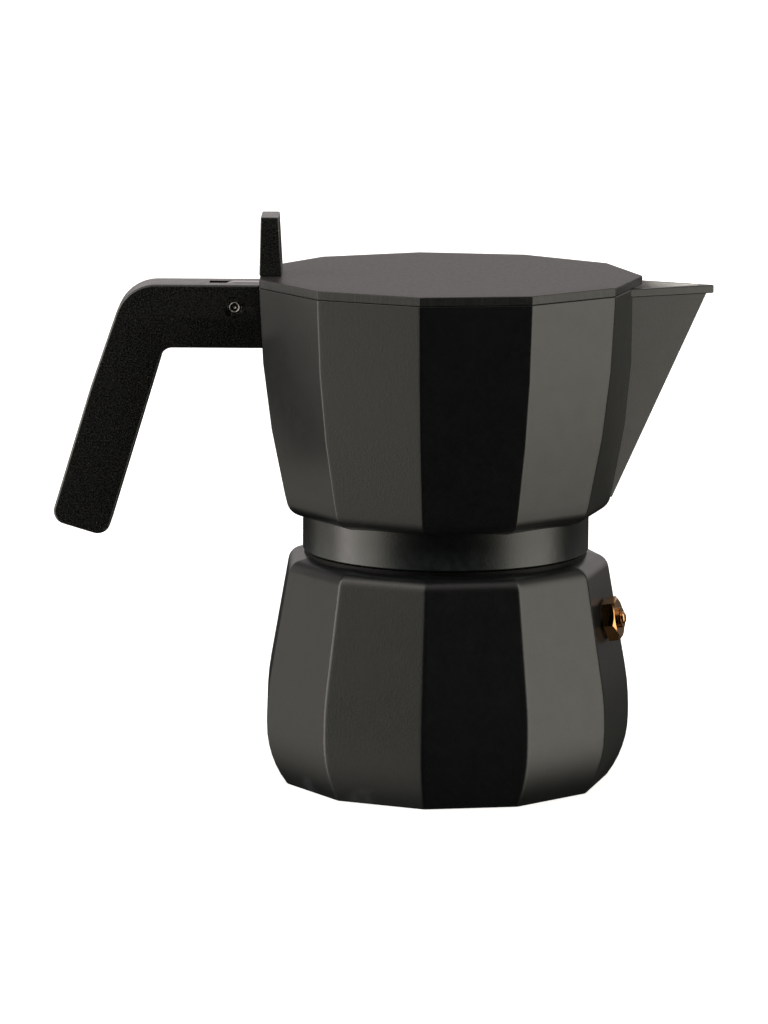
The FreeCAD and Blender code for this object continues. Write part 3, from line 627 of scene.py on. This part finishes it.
def metal_material(name, dark, light, roughness, stretch=None, scale=700.0, metallic=1.0):
    """Bare metal with drawn or blasted marks and uneven polish."""
    made = Surface(name)
    marks = made.noise(scale, 4.0, stretch=stretch)
    color = made.blend(made.spread(made.noise(120.0, 4.0), 0.0, 1.0), dark, light)
    rough = made.spread(marks, roughness - 0.07, roughness + 0.07)
    normal = made.bump(marks, 0.00002)
    made.shader.inputs["Metallic"].default_value = metallic
    return made.output(color, rough, normal)


def soft_material(name, dark, light, roughness, grain):
    """Rubber or fibre: not metallic, faintly mottled."""
    made = Surface(name)
    color = made.blend(made.spread(made.noise(300.0, 4.0), 0.0, 1.0), dark, light)
    rough = made.spread(made.noise(200.0, 3.0), roughness - 0.08, roughness + 0.08)
    normal = made.bump(made.noise(grain, 3.0), 0.00004)
    return made.output(color, rough, normal)


def floor_material():
    """Pale matt studio floor."""
    made = Surface("floor_finish")
    clouds = made.spread(made.noise(3.0, 3.0), 0.0, 1.0)
    color = made.blend(clouds, (0.86, 0.86, 0.86), (0.9, 0.9, 0.9))
    made.shader.inputs["Roughness"].default_value = 0.9
    made.shader.inputs["Specular IOR Level"].default_value = 0.0
    made.shader.inputs["Emission Color"].default_value = (1.0, 1.0, 1.0, 1.0)
    made.shader.inputs["Emission Strength"].default_value = 0.7
    return made.output(color)


COAT = coat_material(
    "coat_finish", dark=(0.0018, 0.0028, 0.0031), light=(0.0042, 0.0054, 0.0057), roughness=0.32)
# Painted shade: the collar in the gap under the skirt gets a near-black, dull coat that stands in for
# the shadow there.
COLLAR_PAINTED_SHADE = coat_material(
    "collar_painted_shade_finish", dark=(0.0006, 0.0008, 0.0009), light=(0.0014, 0.0016, 0.0016), roughness=0.55,
    specular=0.12)
LID_COAT = lid_material()
GRIP = grip_material()
BARE = metal_material(
    "bare_aluminium_finish", dark=(0.82, 0.82, 0.815), light=(0.9, 0.9, 0.89), roughness=0.45,
    metallic=0.35)
BRASS = metal_material(
    "brass_finish", dark=(0.42, 0.19, 0.06), light=(0.66, 0.37, 0.15), roughness=0.15, scale=900.0)
STEEL = metal_material(
    "steel_finish", dark=(0.5, 0.49, 0.48), light=(0.66, 0.65, 0.64), roughness=0.3,
    stretch=(0.1, 1.0, 1.0))
BLACKED = metal_material(
    "blacked_steel_finish", dark=(0.22, 0.22, 0.21), light=(0.42, 0.42, 0.4), roughness=0.26)
RUBBER = soft_material(
    "gasket_finish", dark=(0.66, 0.64, 0.6), light=(0.74, 0.72, 0.68), roughness=0.55, grain=900.0)
FIBRE = soft_material(
    "washer_finish", dark=(0.05, 0.025, 0.018), light=(0.09, 0.045, 0.03), roughness=0.7, grain=2500.0)


# ------------------------------------------------------------------ boiler
def thread(root_radius, crest_radius, start_z):
    """A helical ridge of trapezoidal section, closed at both ends."""
    sunk_radius = root_radius + math.copysign(THREAD_SINK, root_radius - crest_radius)
    section = [
        (sunk_radius, -THREAD_ROOT_HALF),
        (root_radius, -THREAD_ROOT_HALF),
        (crest_radius, -THREAD_CREST_HALF),
        (crest_radius, THREAD_CREST_HALF),
        (root_radius, THREAD_ROOT_HALF),
        (sunk_radius, THREAD_ROOT_HALF),
    ]
    steps_a_turn = 120
    rings = []
    for index in range(round(steps_a_turn * THREAD_TURNS) + 1):
        angle = 2 * math.pi * index / steps_a_turn
        rise = start_z + THREAD_PITCH * index / steps_a_turn
        rings.append([(r * math.cos(angle), r * math.sin(angle), z + rise) for r, z in section])
    return make_object("thread", solid_from_rings(rings), BARE)


def boiler():
    sides = facet_ring(BOILER_CORNER, BOILER_TURN)
    shell = loft("boiler_shell", [
        (CORE_RADIUS, 0.0),
        (BASE_RADIUS - BASE_EDGE_WIDTH, 0.0),
        (BASE_RADIUS, BASE_EDGE_HEIGHT),
        BELLY_LOW,
        BELLY_HIGH,
        SHOULDER_CORNER,
        (COLLAR_RADIUS - OVERLAP, SHOULDER_Z),
        (JOIN_RADIUS, SHOULDER_Z),
    ], sides, COAT)
    # The collar's near-black coat is painted shade for the gap under the skirt.
    collar = loft("collar", [
        (JOIN_RADIUS, COLLAR_FOOT_Z),
        (COLLAR_RADIUS, COLLAR_FOOT_Z),
        (COLLAR_RADIUS, COLLAR_TOP_Z, COLLAR_ROUND),
        (JOIN_RADIUS, COLLAR_TOP_Z),
    ], round_ring, COLLAR_PAINTED_SHADE)
    neck = loft("neck", [
        (JOIN_RADIUS, NECK_FOOT_Z),
        (NECK_RADIUS, NECK_FOOT_Z),
        (NECK_RADIUS, NECK_TOP_Z, NECK_ROUND),
        (JOIN_RADIUS, NECK_TOP_Z),
    ], round_ring, BARE)
    water_room = loft("boiler_inside", [
        (CORE_RADIUS, WATER_FLOOR_Z),
        WATER_FLOOR,
        WATER_LOW,
        WATER_HIGH,
        WATER_SHOULDER,
        WATER_ROOF,
        (ROOF_CORE_RADIUS, WATER_ROOF[1]),
    ], sides, BARE)
    mouth = loft("mouth", [
        (MOUTH_CORE_RADIUS, MOUTH_FOOT_Z),
        (MOUTH_RADIUS, MOUTH_FOOT_Z),
        (MOUTH_RADIUS, BEYOND_MOUTH_Z),
        (MOUTH_CORE_RADIUS, BEYOND_MOUTH_Z),
    ], round_ring, BARE)
    ridge = thread(NECK_RADIUS, NECK_RADIUS + THREAD_DEPTH, THREAD_START_Z)
    combine(shell, [collar, neck, ridge], "UNION")
    combine(shell, [water_room, mouth], "DIFFERENCE")
    return finish_piece(shell, "base", "boiler")


# ------------------------------------------------------------------ upper body
def ridge_x(z):
    """Where the spout's front edge is at a height."""
    return SPOUT_FOOT[0] + (z - SPOUT_FOOT[1]) * SPOUT_SLOPE


def vee_ring(tip, back_x, rounding):
    """A V that points along +X, with a rounded tip, closed by a straight back."""
    half = (tip - back_x) * math.tan(SPOUT_HALF_ANGLE)
    right = (back_x, -half)
    left = (back_x, half)
    return [right] + arc_points(right, (tip, 0.0, rounding), left) + [left]


def vee(name, levels, back_x, rounding, material):
    """A V-shaped body through (tip x, z) levels."""
    rings = [[(x, y, z) for x, y in vee_ring(tip, back_x, rounding)] for tip, z in levels]
    return make_object(name, solid_from_rings(rings), material)


def spout_solids():
    """The spout's horn, and the lip round its top with its tip cut blunt."""
    foot_z = SPOUT_FOOT[1] - HORN_BELOW
    top_z = RIM_Z - OVERLAP
    steps = 10
    levels = []
    for index in range(steps + 1):
        z = foot_z + (top_z - foot_z) * index / steps
        levels.append((ridge_x(z), z))
    horn = vee("horn", levels, SPOUT_BACK_X, SPOUT_EDGE, COAT)
    under_z = RIM_Z - LIP_HEIGHT
    lip_tip = ridge_x(under_z) + LIP_OVERHANG / SPOUT_SINE
    eased_tip = lip_tip - LIP_EASE / SPOUT_SINE
    lip = vee("lip", [
        (eased_tip, under_z),
        (lip_tip, under_z + LIP_EASE),
        (lip_tip, RIM_Z - LIP_EASE),
        (eased_tip, RIM_Z),
    ], LIP_BACK_X, LIP_EDGE, COAT)
    beyond_tip = block(
        (LIP_TIP_X, -BEYOND_Y, BEYOND_LIP_Z),
        (BEYOND_FRONT_X, BEYOND_Y, BEYOND_TOP_Z),
        COAT,
    )
    combine(lip, [beyond_tip], "DIFFERENCE")
    return [horn, lip]


def spout_channel():
    """The spout's inside, a V that is open at the rim and towards the coffee room."""
    foot_z = SPOUT_FOOT[1] + CHANNEL_ABOVE
    levels = [(ridge_x(z) - SPOUT_WALL / SPOUT_SINE, z) for z in (foot_z, RIM_Z + CUT_PAST)]
    return vee("channel", levels, SPOUT_BACK_X, CHANNEL_EDGE, BARE)


def upper_shell(sides):
    """The eleven-sided outside, with the bend in its sides as one long arc."""
    bend_radius = RIM_RADIUS - BODY_RUN * math.sin(BODY_LEAN_TOP)
    bend_z = RIM_Z - BODY_RUN * math.cos(BODY_LEAN_TOP)
    bend_round = BODY_RUN / math.tan((BODY_LEAN_FOOT - BODY_LEAN_TOP) / 2)
    return loft("upper_shell", [
        (CORE_RADIUS, BODY_FLOOR_Z),
        (SKIRT_RADIUS, BODY_FLOOR_Z),
        BODY_FOOT,
        (bend_radius, bend_z, bend_round * BODY_BEND_EASE),
        (RIM_RADIUS, RIM_Z, RIM_ROUND),
        (JOIN_RADIUS, RIM_Z),
    ], sides, COAT)


def skirt_solids():
    """The round skirt that covers the neck, and the turned-off edge at its foot."""
    edge_top_z = SKIRT_BOTTOM_Z + SKIRT_EDGE
    skirt = loft("skirt", [
        (JOIN_RADIUS, edge_top_z),
        (SKIRT_RADIUS, edge_top_z),
        (SKIRT_RADIUS, SKIRT_ROOF_Z),
        (JOIN_RADIUS, SKIRT_ROOF_Z),
    ], round_ring, COAT)
    skirt_edge = loft("skirt_edge", [
        (JOIN_RADIUS, SKIRT_BOTTOM_Z),
        (SKIRT_RADIUS - SKIRT_EDGE, SKIRT_BOTTOM_Z),
        (SKIRT_RADIUS - SKIRT_EDGE_STEP, edge_top_z),
        (JOIN_RADIUS, edge_top_z),
    ], round_ring, COAT)
    return [skirt, skirt_edge]


def hinge_ears():
    corners = [
        (EAR_ROOT_X, EAR_FOOT_Z),
        (EAR_ROOT_X, EAR_TOP_Z),
        (EAR_END_X, EAR_TOP_Z, EAR_ROUND),
        (EAR_END_X, EAR_FOOT_Z, EAR_ROUND),
    ]
    ears = []
    for side in (-1, 1):
        ear = slab("ear", corners, EAR_HALF_THICKNESS, 0.0, COAT)
        ear.data.transform(Matrix.Translation((0, side * EAR_Y, 0)))
        ears.append(ear)
    return ears


def upper_body():
    sides = facet_ring(BODY_CORNER)
    shell = upper_shell(sides)
    wall_radius = WALL / FLAT
    coffee_room = loft("cavity", [
        (CORE_RADIUS, ROOM_FLOOR_Z),
        ROOM_FOOT,
        (ROOM_BEND[0] - wall_radius, ROOM_BEND[1], ROOM_BEND[2]),
        (RIM_RADIUS - wall_radius, RIM_Z + CUT_PAST / 2),
        (CORE_RADIUS, RIM_Z + CUT_PAST / 2),
    ], sides, BARE)
    cone = loft("cone", [
        (COLUMN_CORE_RADIUS, CONE_ROOT_Z),
        (CONE_RADIUS, CONE_ROOT_Z),
        (CONE_RADIUS, ROOM_FLOOR_Z),
        CONE_TOP,
        (COLUMN_CORE_RADIUS, CONE_TOP[1]),
    ], round_ring, BARE)
    thread_root = NECK_RADIUS + THREAD_DEPTH + THREAD_GAP
    under = loft("under", [
        (COLUMN_CORE_RADIUS, UNDER_FLOOR_Z),
        (thread_root, UNDER_FLOOR_Z),
        (thread_root, low_mm("gasket").z),
        (GASKET_RADIUS, low_mm("gasket").z),
        (GASKET_RADIUS, high_mm("gasket").z),
        (PLATE_RADIUS, high_mm("gasket").z),
        (PLATE_RADIUS, PLATE_TOP_Z),
        (DOME_RADIUS, PLATE_TOP_Z),
        (COLUMN_RADIUS, COLUMN_FOOT_Z),
        (COLUMN_RADIUS, COLUMN_TOP_Z),
        (COLUMN_CORE_RADIUS, COLUMN_TOP_Z),
    ], round_ring, BARE)
    ridge = thread(thread_root, NECK_RADIUS + THREAD_GAP, THREAD_START_Z + THREAD_PITCH / 2)
    notch = block(
        (NOTCH_START_X, -NOTCH_HALF_WIDTH, NOTCH_FOOT_Z),
        (NOTCH_END_X, NOTCH_HALF_WIDTH, RIM_Z + CUT_PAST),
        BARE,
    )
    pin_hole = hinge_rod(PIN_RADIUS, -PIN_HOLE_HALF_LENGTH, PIN_HOLE_HALF_LENGTH, BARE)
    combine(shell, skirt_solids() + spout_solids() + hinge_ears(), "UNION")
    combine(shell, [coffee_room, spout_channel()], "DIFFERENCE")
    combine(shell, [cone], "UNION")
    combine(shell, [under, notch, pin_hole], "DIFFERENCE")
    combine(shell, [ridge], "UNION")
    return finish_piece(shell, "collector", "upper_body")


# ------------------------------------------------------------------ handle
def handle():
    """A bar back from the pot that turns down into the grip, hollowed for the hinge."""
    slope = math.tan(HANDLE_LEAN)
    underside = HANDLE_TOP_Z - HANDLE_DEPTH
    outer_x = GRIP_INNER_X - GRIP_DEPTH / math.cos(HANDLE_LEAN)
    bend_x = outer_x - (underside - HANDLE_BEND_Z) * slope
    outer_top_x = bend_x + (HANDLE_TOP_Z - HANDLE_BEND_Z) * math.tan(HANDLE_LEAN_TOP)
    inner_foot_x = GRIP_INNER_X - (underside - GRIP_BOTTOM_Z) * slope
    outer_foot_x = inner_foot_x - GRIP_DEPTH * math.cos(HANDLE_LEAN)
    outer_foot_z = GRIP_BOTTOM_Z + GRIP_DEPTH * math.sin(HANDLE_LEAN)
    bar = slab("handle_grip", [
        (HANDLE_ROOT_FOOT_X, underside),
        (HANDLE_ROOT_TOP_X, HANDLE_TOP_Z),
        (outer_top_x, HANDLE_TOP_Z, HANDLE_TOP_ROUND),
        (bend_x, HANDLE_BEND_Z, HANDLE_BEND_ROUND),
        (outer_foot_x, outer_foot_z, GRIP_FOOT_ROUND),
        (inner_foot_x, GRIP_BOTTOM_Z, GRIP_FOOT_ROUND),
        (GRIP_INNER_X, underside, GRIP_CROOK_ROUND),
    ], HANDLE_HALF_WIDTH, HANDLE_EDGE, GRIP)
    floor_z = underside + POCKET_FLOOR
    pocket = block(
        (POCKET_END_X, -POCKET_HALF_WIDTH, floor_z),
        (0, POCKET_HALF_WIDTH, EAR_TOP_Z + EAR_HEADROOM),
        GRIP,
    )
    slot = block(
        (SLOT_END_X, -SLOT_HALF_WIDTH, floor_z),
        (0, SLOT_HALF_WIDTH, HANDLE_TOP_Z + CUT_PAST),
        GRIP,
    )
    pin_hole = hinge_rod(PIN_RADIUS, -PIN_HOLE_HALF_LENGTH, PIN_HOLE_HALF_LENGTH, GRIP)
    near_recess = hinge_rod(RECESS_RADIUS, -BEYOND_Y, -RECESS_FLOOR_Y, GRIP)
    far_recess = hinge_rod(RECESS_RADIUS, RECESS_FLOOR_Y, BEYOND_Y, GRIP)
    combine(bar, [pocket, slot, pin_hole, near_recess, far_recess], "DIFFERENCE")
    return finish_piece(bar, "collector", "handle", crease=24)


def hinge_screw():
    """A screw across the hinge whose face has two raised rings round a dimpled middle."""
    face_y = low_mm("hinge_screw").y
    face = [
        (0.2, -0.45), (0.45, -0.2), (0.7, -0.5), (1.1, -0.5),       # the dimpled middle
        (1.3, -0.15), (1.5, 0.0), (1.7, -0.15),                     # the inner ring
        (1.9, -0.5), (2.15, -0.5),
        (2.3, -0.2), (2.4, -0.1), (2.5, -0.2),                      # the outer ring
        (2.65, -0.5), (2.9, -0.4), (3.1, -0.05), (3.2, -0.05),
        (SCREW_HEAD_RADIUS, -0.2), (SCREW_HEAD_RADIUS, -SCREW_HEAD_HEIGHT),
    ]
    outline = [(radius, face_y - height) for radius, height in face]
    outline.append((SCREW_RADIUS, face_y + SCREW_HEAD_HEIGHT))
    outline.append((SCREW_RADIUS, high_mm("hinge_screw").y))
    rings = []
    for radius, y in outline:
        rings.append([(HINGE_X + a, y, HINGE_Z + b) for a, b in round_ring(radius, ROD_SIDES)])
    screw = make_object("hinge_screw_face", solid_from_rings(rings), BLACKED)
    return finish_piece(screw, "collector", "hinge_screw", crease=50)


# ------------------------------------------------------------------ lid and knob
def lid():
    """The flat plate, and under it the ring that keeps it in place, open where the tongue goes."""
    plate = loft("lid_plate", [
        (CORE_RADIUS, LID_BOTTOM_Z),
        (RIM_RADIUS, LID_BOTTOM_Z, LID_FOOT_ROUND),
        (RIM_RADIUS, LID_TOP_Z, LID_TOP_ROUND),
        (CORE_RADIUS, LID_TOP_Z),
    ], facet_ring(LID_CORNER), LID_COAT)
    ring_foot = low_mm("lid").z
    ring_top = LID_BOTTOM_Z + LID_RING_SINK
    ring = loft("lid_ring", [
        (LID_RING_CORE, ring_top),
        (LID_RING_CORE, ring_foot),
        (LID_RING_OUTER, ring_foot, LID_RING_ROUND),
        (LID_RING_OUTER, ring_top),
    ], round_ring, LID_COAT)
    ring_hole = loft("ring_hole", [
        (CORE_RADIUS, ring_foot - CUT_PAST),
        (LID_RING_INNER, ring_foot - CUT_PAST),
        (LID_RING_INNER, LID_BOTTOM_Z),
        (CORE_RADIUS, LID_BOTTOM_Z),
    ], round_ring, LID_COAT)
    gap = block(
        (BEYOND_REAR_X, -TONGUE_GAP_HALF, BEYOND_LID_RING_Z),
        (0, TONGUE_GAP_HALF, LID_BOTTOM_Z),
        LID_COAT,
    )
    combine(ring, [ring_hole, gap], "DIFFERENCE")
    combine(plate, [ring], "UNION")
    return finish_piece(plate, "lid", "lid")


def knob():
    """A tab that thins towards its top, with its edges eased."""
    foot = LID_TOP_Z
    rear, front = low_mm("knob").x, high_mm("knob").x
    levels = [(foot + height, ease) for height, ease in KNOB_FOOT_EASE]
    steps = 4
    for index in range(steps + 1):
        angle = math.pi / 2 * index / steps
        z = KNOB_TOP_Z - KNOB_EDGE * (1 - math.sin(angle))
        levels.append((z, KNOB_EDGE * (1 - math.cos(angle))))
    rings = []
    for z, ease in levels:
        share = (z - foot) / (KNOB_TOP_Z - foot)
        back = rear + KNOB_TAPER_REAR * share + ease
        face = front - KNOB_TAPER_FRONT * share - ease
        half = KNOB_HALF_WIDTH - ease
        plan = [(back, -half), (face, -half), (face, half), (back, half)]
        corners = [(x, y, KNOB_EDGE) for x, y in plan]
        rings.append([(x, y, z) for x, y in sampled(corners, closed=True)])
    tab = make_object("knob_tab", solid_from_rings(rings), GRIP)
    return finish_piece(tab, "lid", "knob", crease=40)


boiler()
upper_body()
handle()
hinge_screw()
lid()
knob()


# ------------------------------------------------------------------ CAD nodes that stay
CARRIED = {
    "valve_body": BRASS,
    "valve_pin": BRASS,
    "valve_seat": BRASS,
    "valve_spring": STEEL,
    "valve_washer": FIBRE,
    "funnel_basket": BARE,
    "funnel_strainer": BARE,
    "funnel_stem": BARE,
    "filter_plate": BARE,
    "gasket": RUBBER,
    "coffee_column": BARE,
    "hinge_sleeve": BLACKED,
    "hinge_arm": STEEL,
    "knob_screw": STEEL,
}
for node_name, finish in CARRIED.items():
    carried = frame["nodes"][node_name]
    if not carried.data.materials:
        carried.data.materials.append(finish)
    for material_slot in carried.material_slots:
        material_slot.material = finish


# ------------------------------------------------------------------ studio
WARM = (1.0, 0.96, 0.84)
ROSY = (1.0, 0.925, 0.925)
FOOT_FADE = (-90, -12)              # the elevations over which most panels fade in
TOP_FADE = 8                        # half the angle over which every panel fades out
FLOOR_HALF_SIZE = 8.0               # metres, like the camera's place
CAMERA_PLACE = (-0.01342, -1.64228, 0.35956)
CAMERA_TURN = (80.560, -0.334, 0.284)
CAMERA_LENS = 181.0


class Studio(Graph):
    """Soft light by direction round the pot: azimuth 0 is the camera's side, 90 is along +X."""

    def __init__(self):
        world = bpy.data.worlds.new("studio")
        bpy.context.scene.world = world
        world.use_nodes = True
        super().__init__(world.node_tree)
        self.tree.nodes.clear()
        direction = self.add("ShaderNodeTexCoord").outputs["Generated"]
        split = self.add("ShaderNodeSeparateXYZ")
        self.link(direction, split.inputs[0])
        self.height = split.outputs["Z"]
        level = self.add("ShaderNodeVectorMath", operation="MULTIPLY")
        level.inputs[1].default_value = (1.0, 1.0, 0.0)
        self.link(direction, level.inputs[0])
        heading = self.add("ShaderNodeVectorMath", operation="NORMALIZE")
        self.link(level.outputs[0], heading.inputs[0])
        self.heading = heading.outputs[0]
        self.total = None

    def window(self, value, low, high):
        """Nought below low and one above high, or the other way round, with a soft step."""
        node = self.add("ShaderNodeMapRange", interpolation_type="SMOOTHSTEP")
        node.inputs["From Min"].default_value = low
        node.inputs["From Max"].default_value = high
        self.link(value, node.inputs["Value"])
        return node.outputs["Result"]

    def between_elevations(self, dark, lit):
        """Nought at the dark elevation and one at the lit one, both in degrees."""
        return self.window(self.height, math.sin(math.radians(dark)), math.sin(math.radians(lit)))

    def gather(self, amount, strength, tint):
        """Adds light of one tint to what is there already."""
        scaled = self.add("ShaderNodeVectorMath", operation="MULTIPLY")
        scaled.inputs[1].default_value = [strength * channel for channel in tint]
        self.link(amount, scaled.inputs[0])
        if self.total is None:
            self.total = scaled.outputs["Vector"]
            return
        both = self.add("ShaderNodeVectorMath", operation="ADD")
        self.link(self.total, both.inputs[0])
        self.link(scaled.outputs["Vector"], both.inputs[1])
        self.total = both.outputs["Vector"]

    def panel(self, azimuth, half_width, soft, low, high, strength, tint):
        """A panel between two elevations, fading in over the low pair. All angles are in degrees."""
        towards = self.add("ShaderNodeVectorMath", operation="DOT_PRODUCT")
        angle = math.radians(azimuth)
        towards.inputs[1].default_value = (math.sin(angle), -math.cos(angle), 0.0)
        self.link(self.heading, towards.inputs[0])
        outer = math.cos(math.radians(half_width + soft / 2))
        inner = math.cos(math.radians(max(0.0, half_width - soft / 2)))
        across = self.window(towards.outputs["Value"], outer, inner)
        rising = self.between_elevations(low[0], low[1])
        falling = self.between_elevations(high + TOP_FADE, high - TOP_FADE)
        lit = self.multiply(self.multiply(across, rising), falling)
        self.gather(lit, strength, tint)

    def overhead(self, low, high, strength, tint):
        self.gather(self.between_elevations(low, high), strength, tint)

    def finish(self, backdrop):
        """The camera sees a plain pale backdrop. Everything else sees the panels."""
        light = self.add("ShaderNodeBackground")
        self.link(self.total, light.inputs["Color"])
        seen = self.add("ShaderNodeBackground")
        seen.inputs["Color"].default_value = (backdrop, backdrop, backdrop, 1.0)
        choice = self.add("ShaderNodeMixShader")
        self.link(self.add("ShaderNodeLightPath").outputs["Is Camera Ray"], choice.inputs[0])
        self.link(light.outputs[0], choice.inputs[1])
        self.link(seen.outputs[0], choice.inputs[2])
        self.link(choice.outputs[0], self.add("ShaderNodeOutputWorld").inputs["Surface"])


def studio_world():
    studio = Studio()
    studio.panel(azimuth=73, half_width=21, soft=18, low=FOOT_FADE, high=55, strength=2.9, tint=WARM)
    studio.panel(azimuth=140, half_width=16, soft=20, low=FOOT_FADE, high=40, strength=0.09, tint=WARM)
    studio.panel(azimuth=-88, half_width=6, soft=8, low=FOOT_FADE, high=40, strength=3.8, tint=ROSY)
    studio.panel(azimuth=-72, half_width=15, soft=26, low=FOOT_FADE, high=60, strength=2.8, tint=WARM)
    studio.panel(azimuth=-114, half_width=12, soft=18, low=FOOT_FADE, high=40, strength=0.78, tint=WARM)
    studio.panel(azimuth=180, half_width=50, soft=30, low=(-8, 8), high=30, strength=0.72, tint=ROSY)
    studio.overhead(low=35, high=70, strength=0.75, tint=ROSY)
    studio.finish(backdrop=1.0)


def studio_floor():
    """Seen by the camera only, so that it throws no light up on the pot."""
    mesh = bmesh.new()
    bmesh.ops.create_grid(mesh, x_segments=8, y_segments=8, size=FLOOR_HALF_SIZE)
    floor = make_object("floor", mesh, floor_material())
    floor.visible_glossy = False
    floor.visible_diffuse = False
    floor.visible_shadow = False


def studio_camera():
    data = bpy.data.cameras.new("camera")
    data.sensor_width = 36.0
    data.lens = CAMERA_LENS
    data.clip_end = 50.0
    camera = bpy.data.objects.new("camera", data)
    bpy.context.scene.collection.objects.link(camera)
    camera.location = CAMERA_PLACE
    camera.rotation_euler = [math.radians(angle) for angle in CAMERA_TURN]
    bpy.context.scene.camera = camera


studio_world()
studio_floor()
studio_camera()
bpy.context.scene.view_settings.view_transform = "Standard"
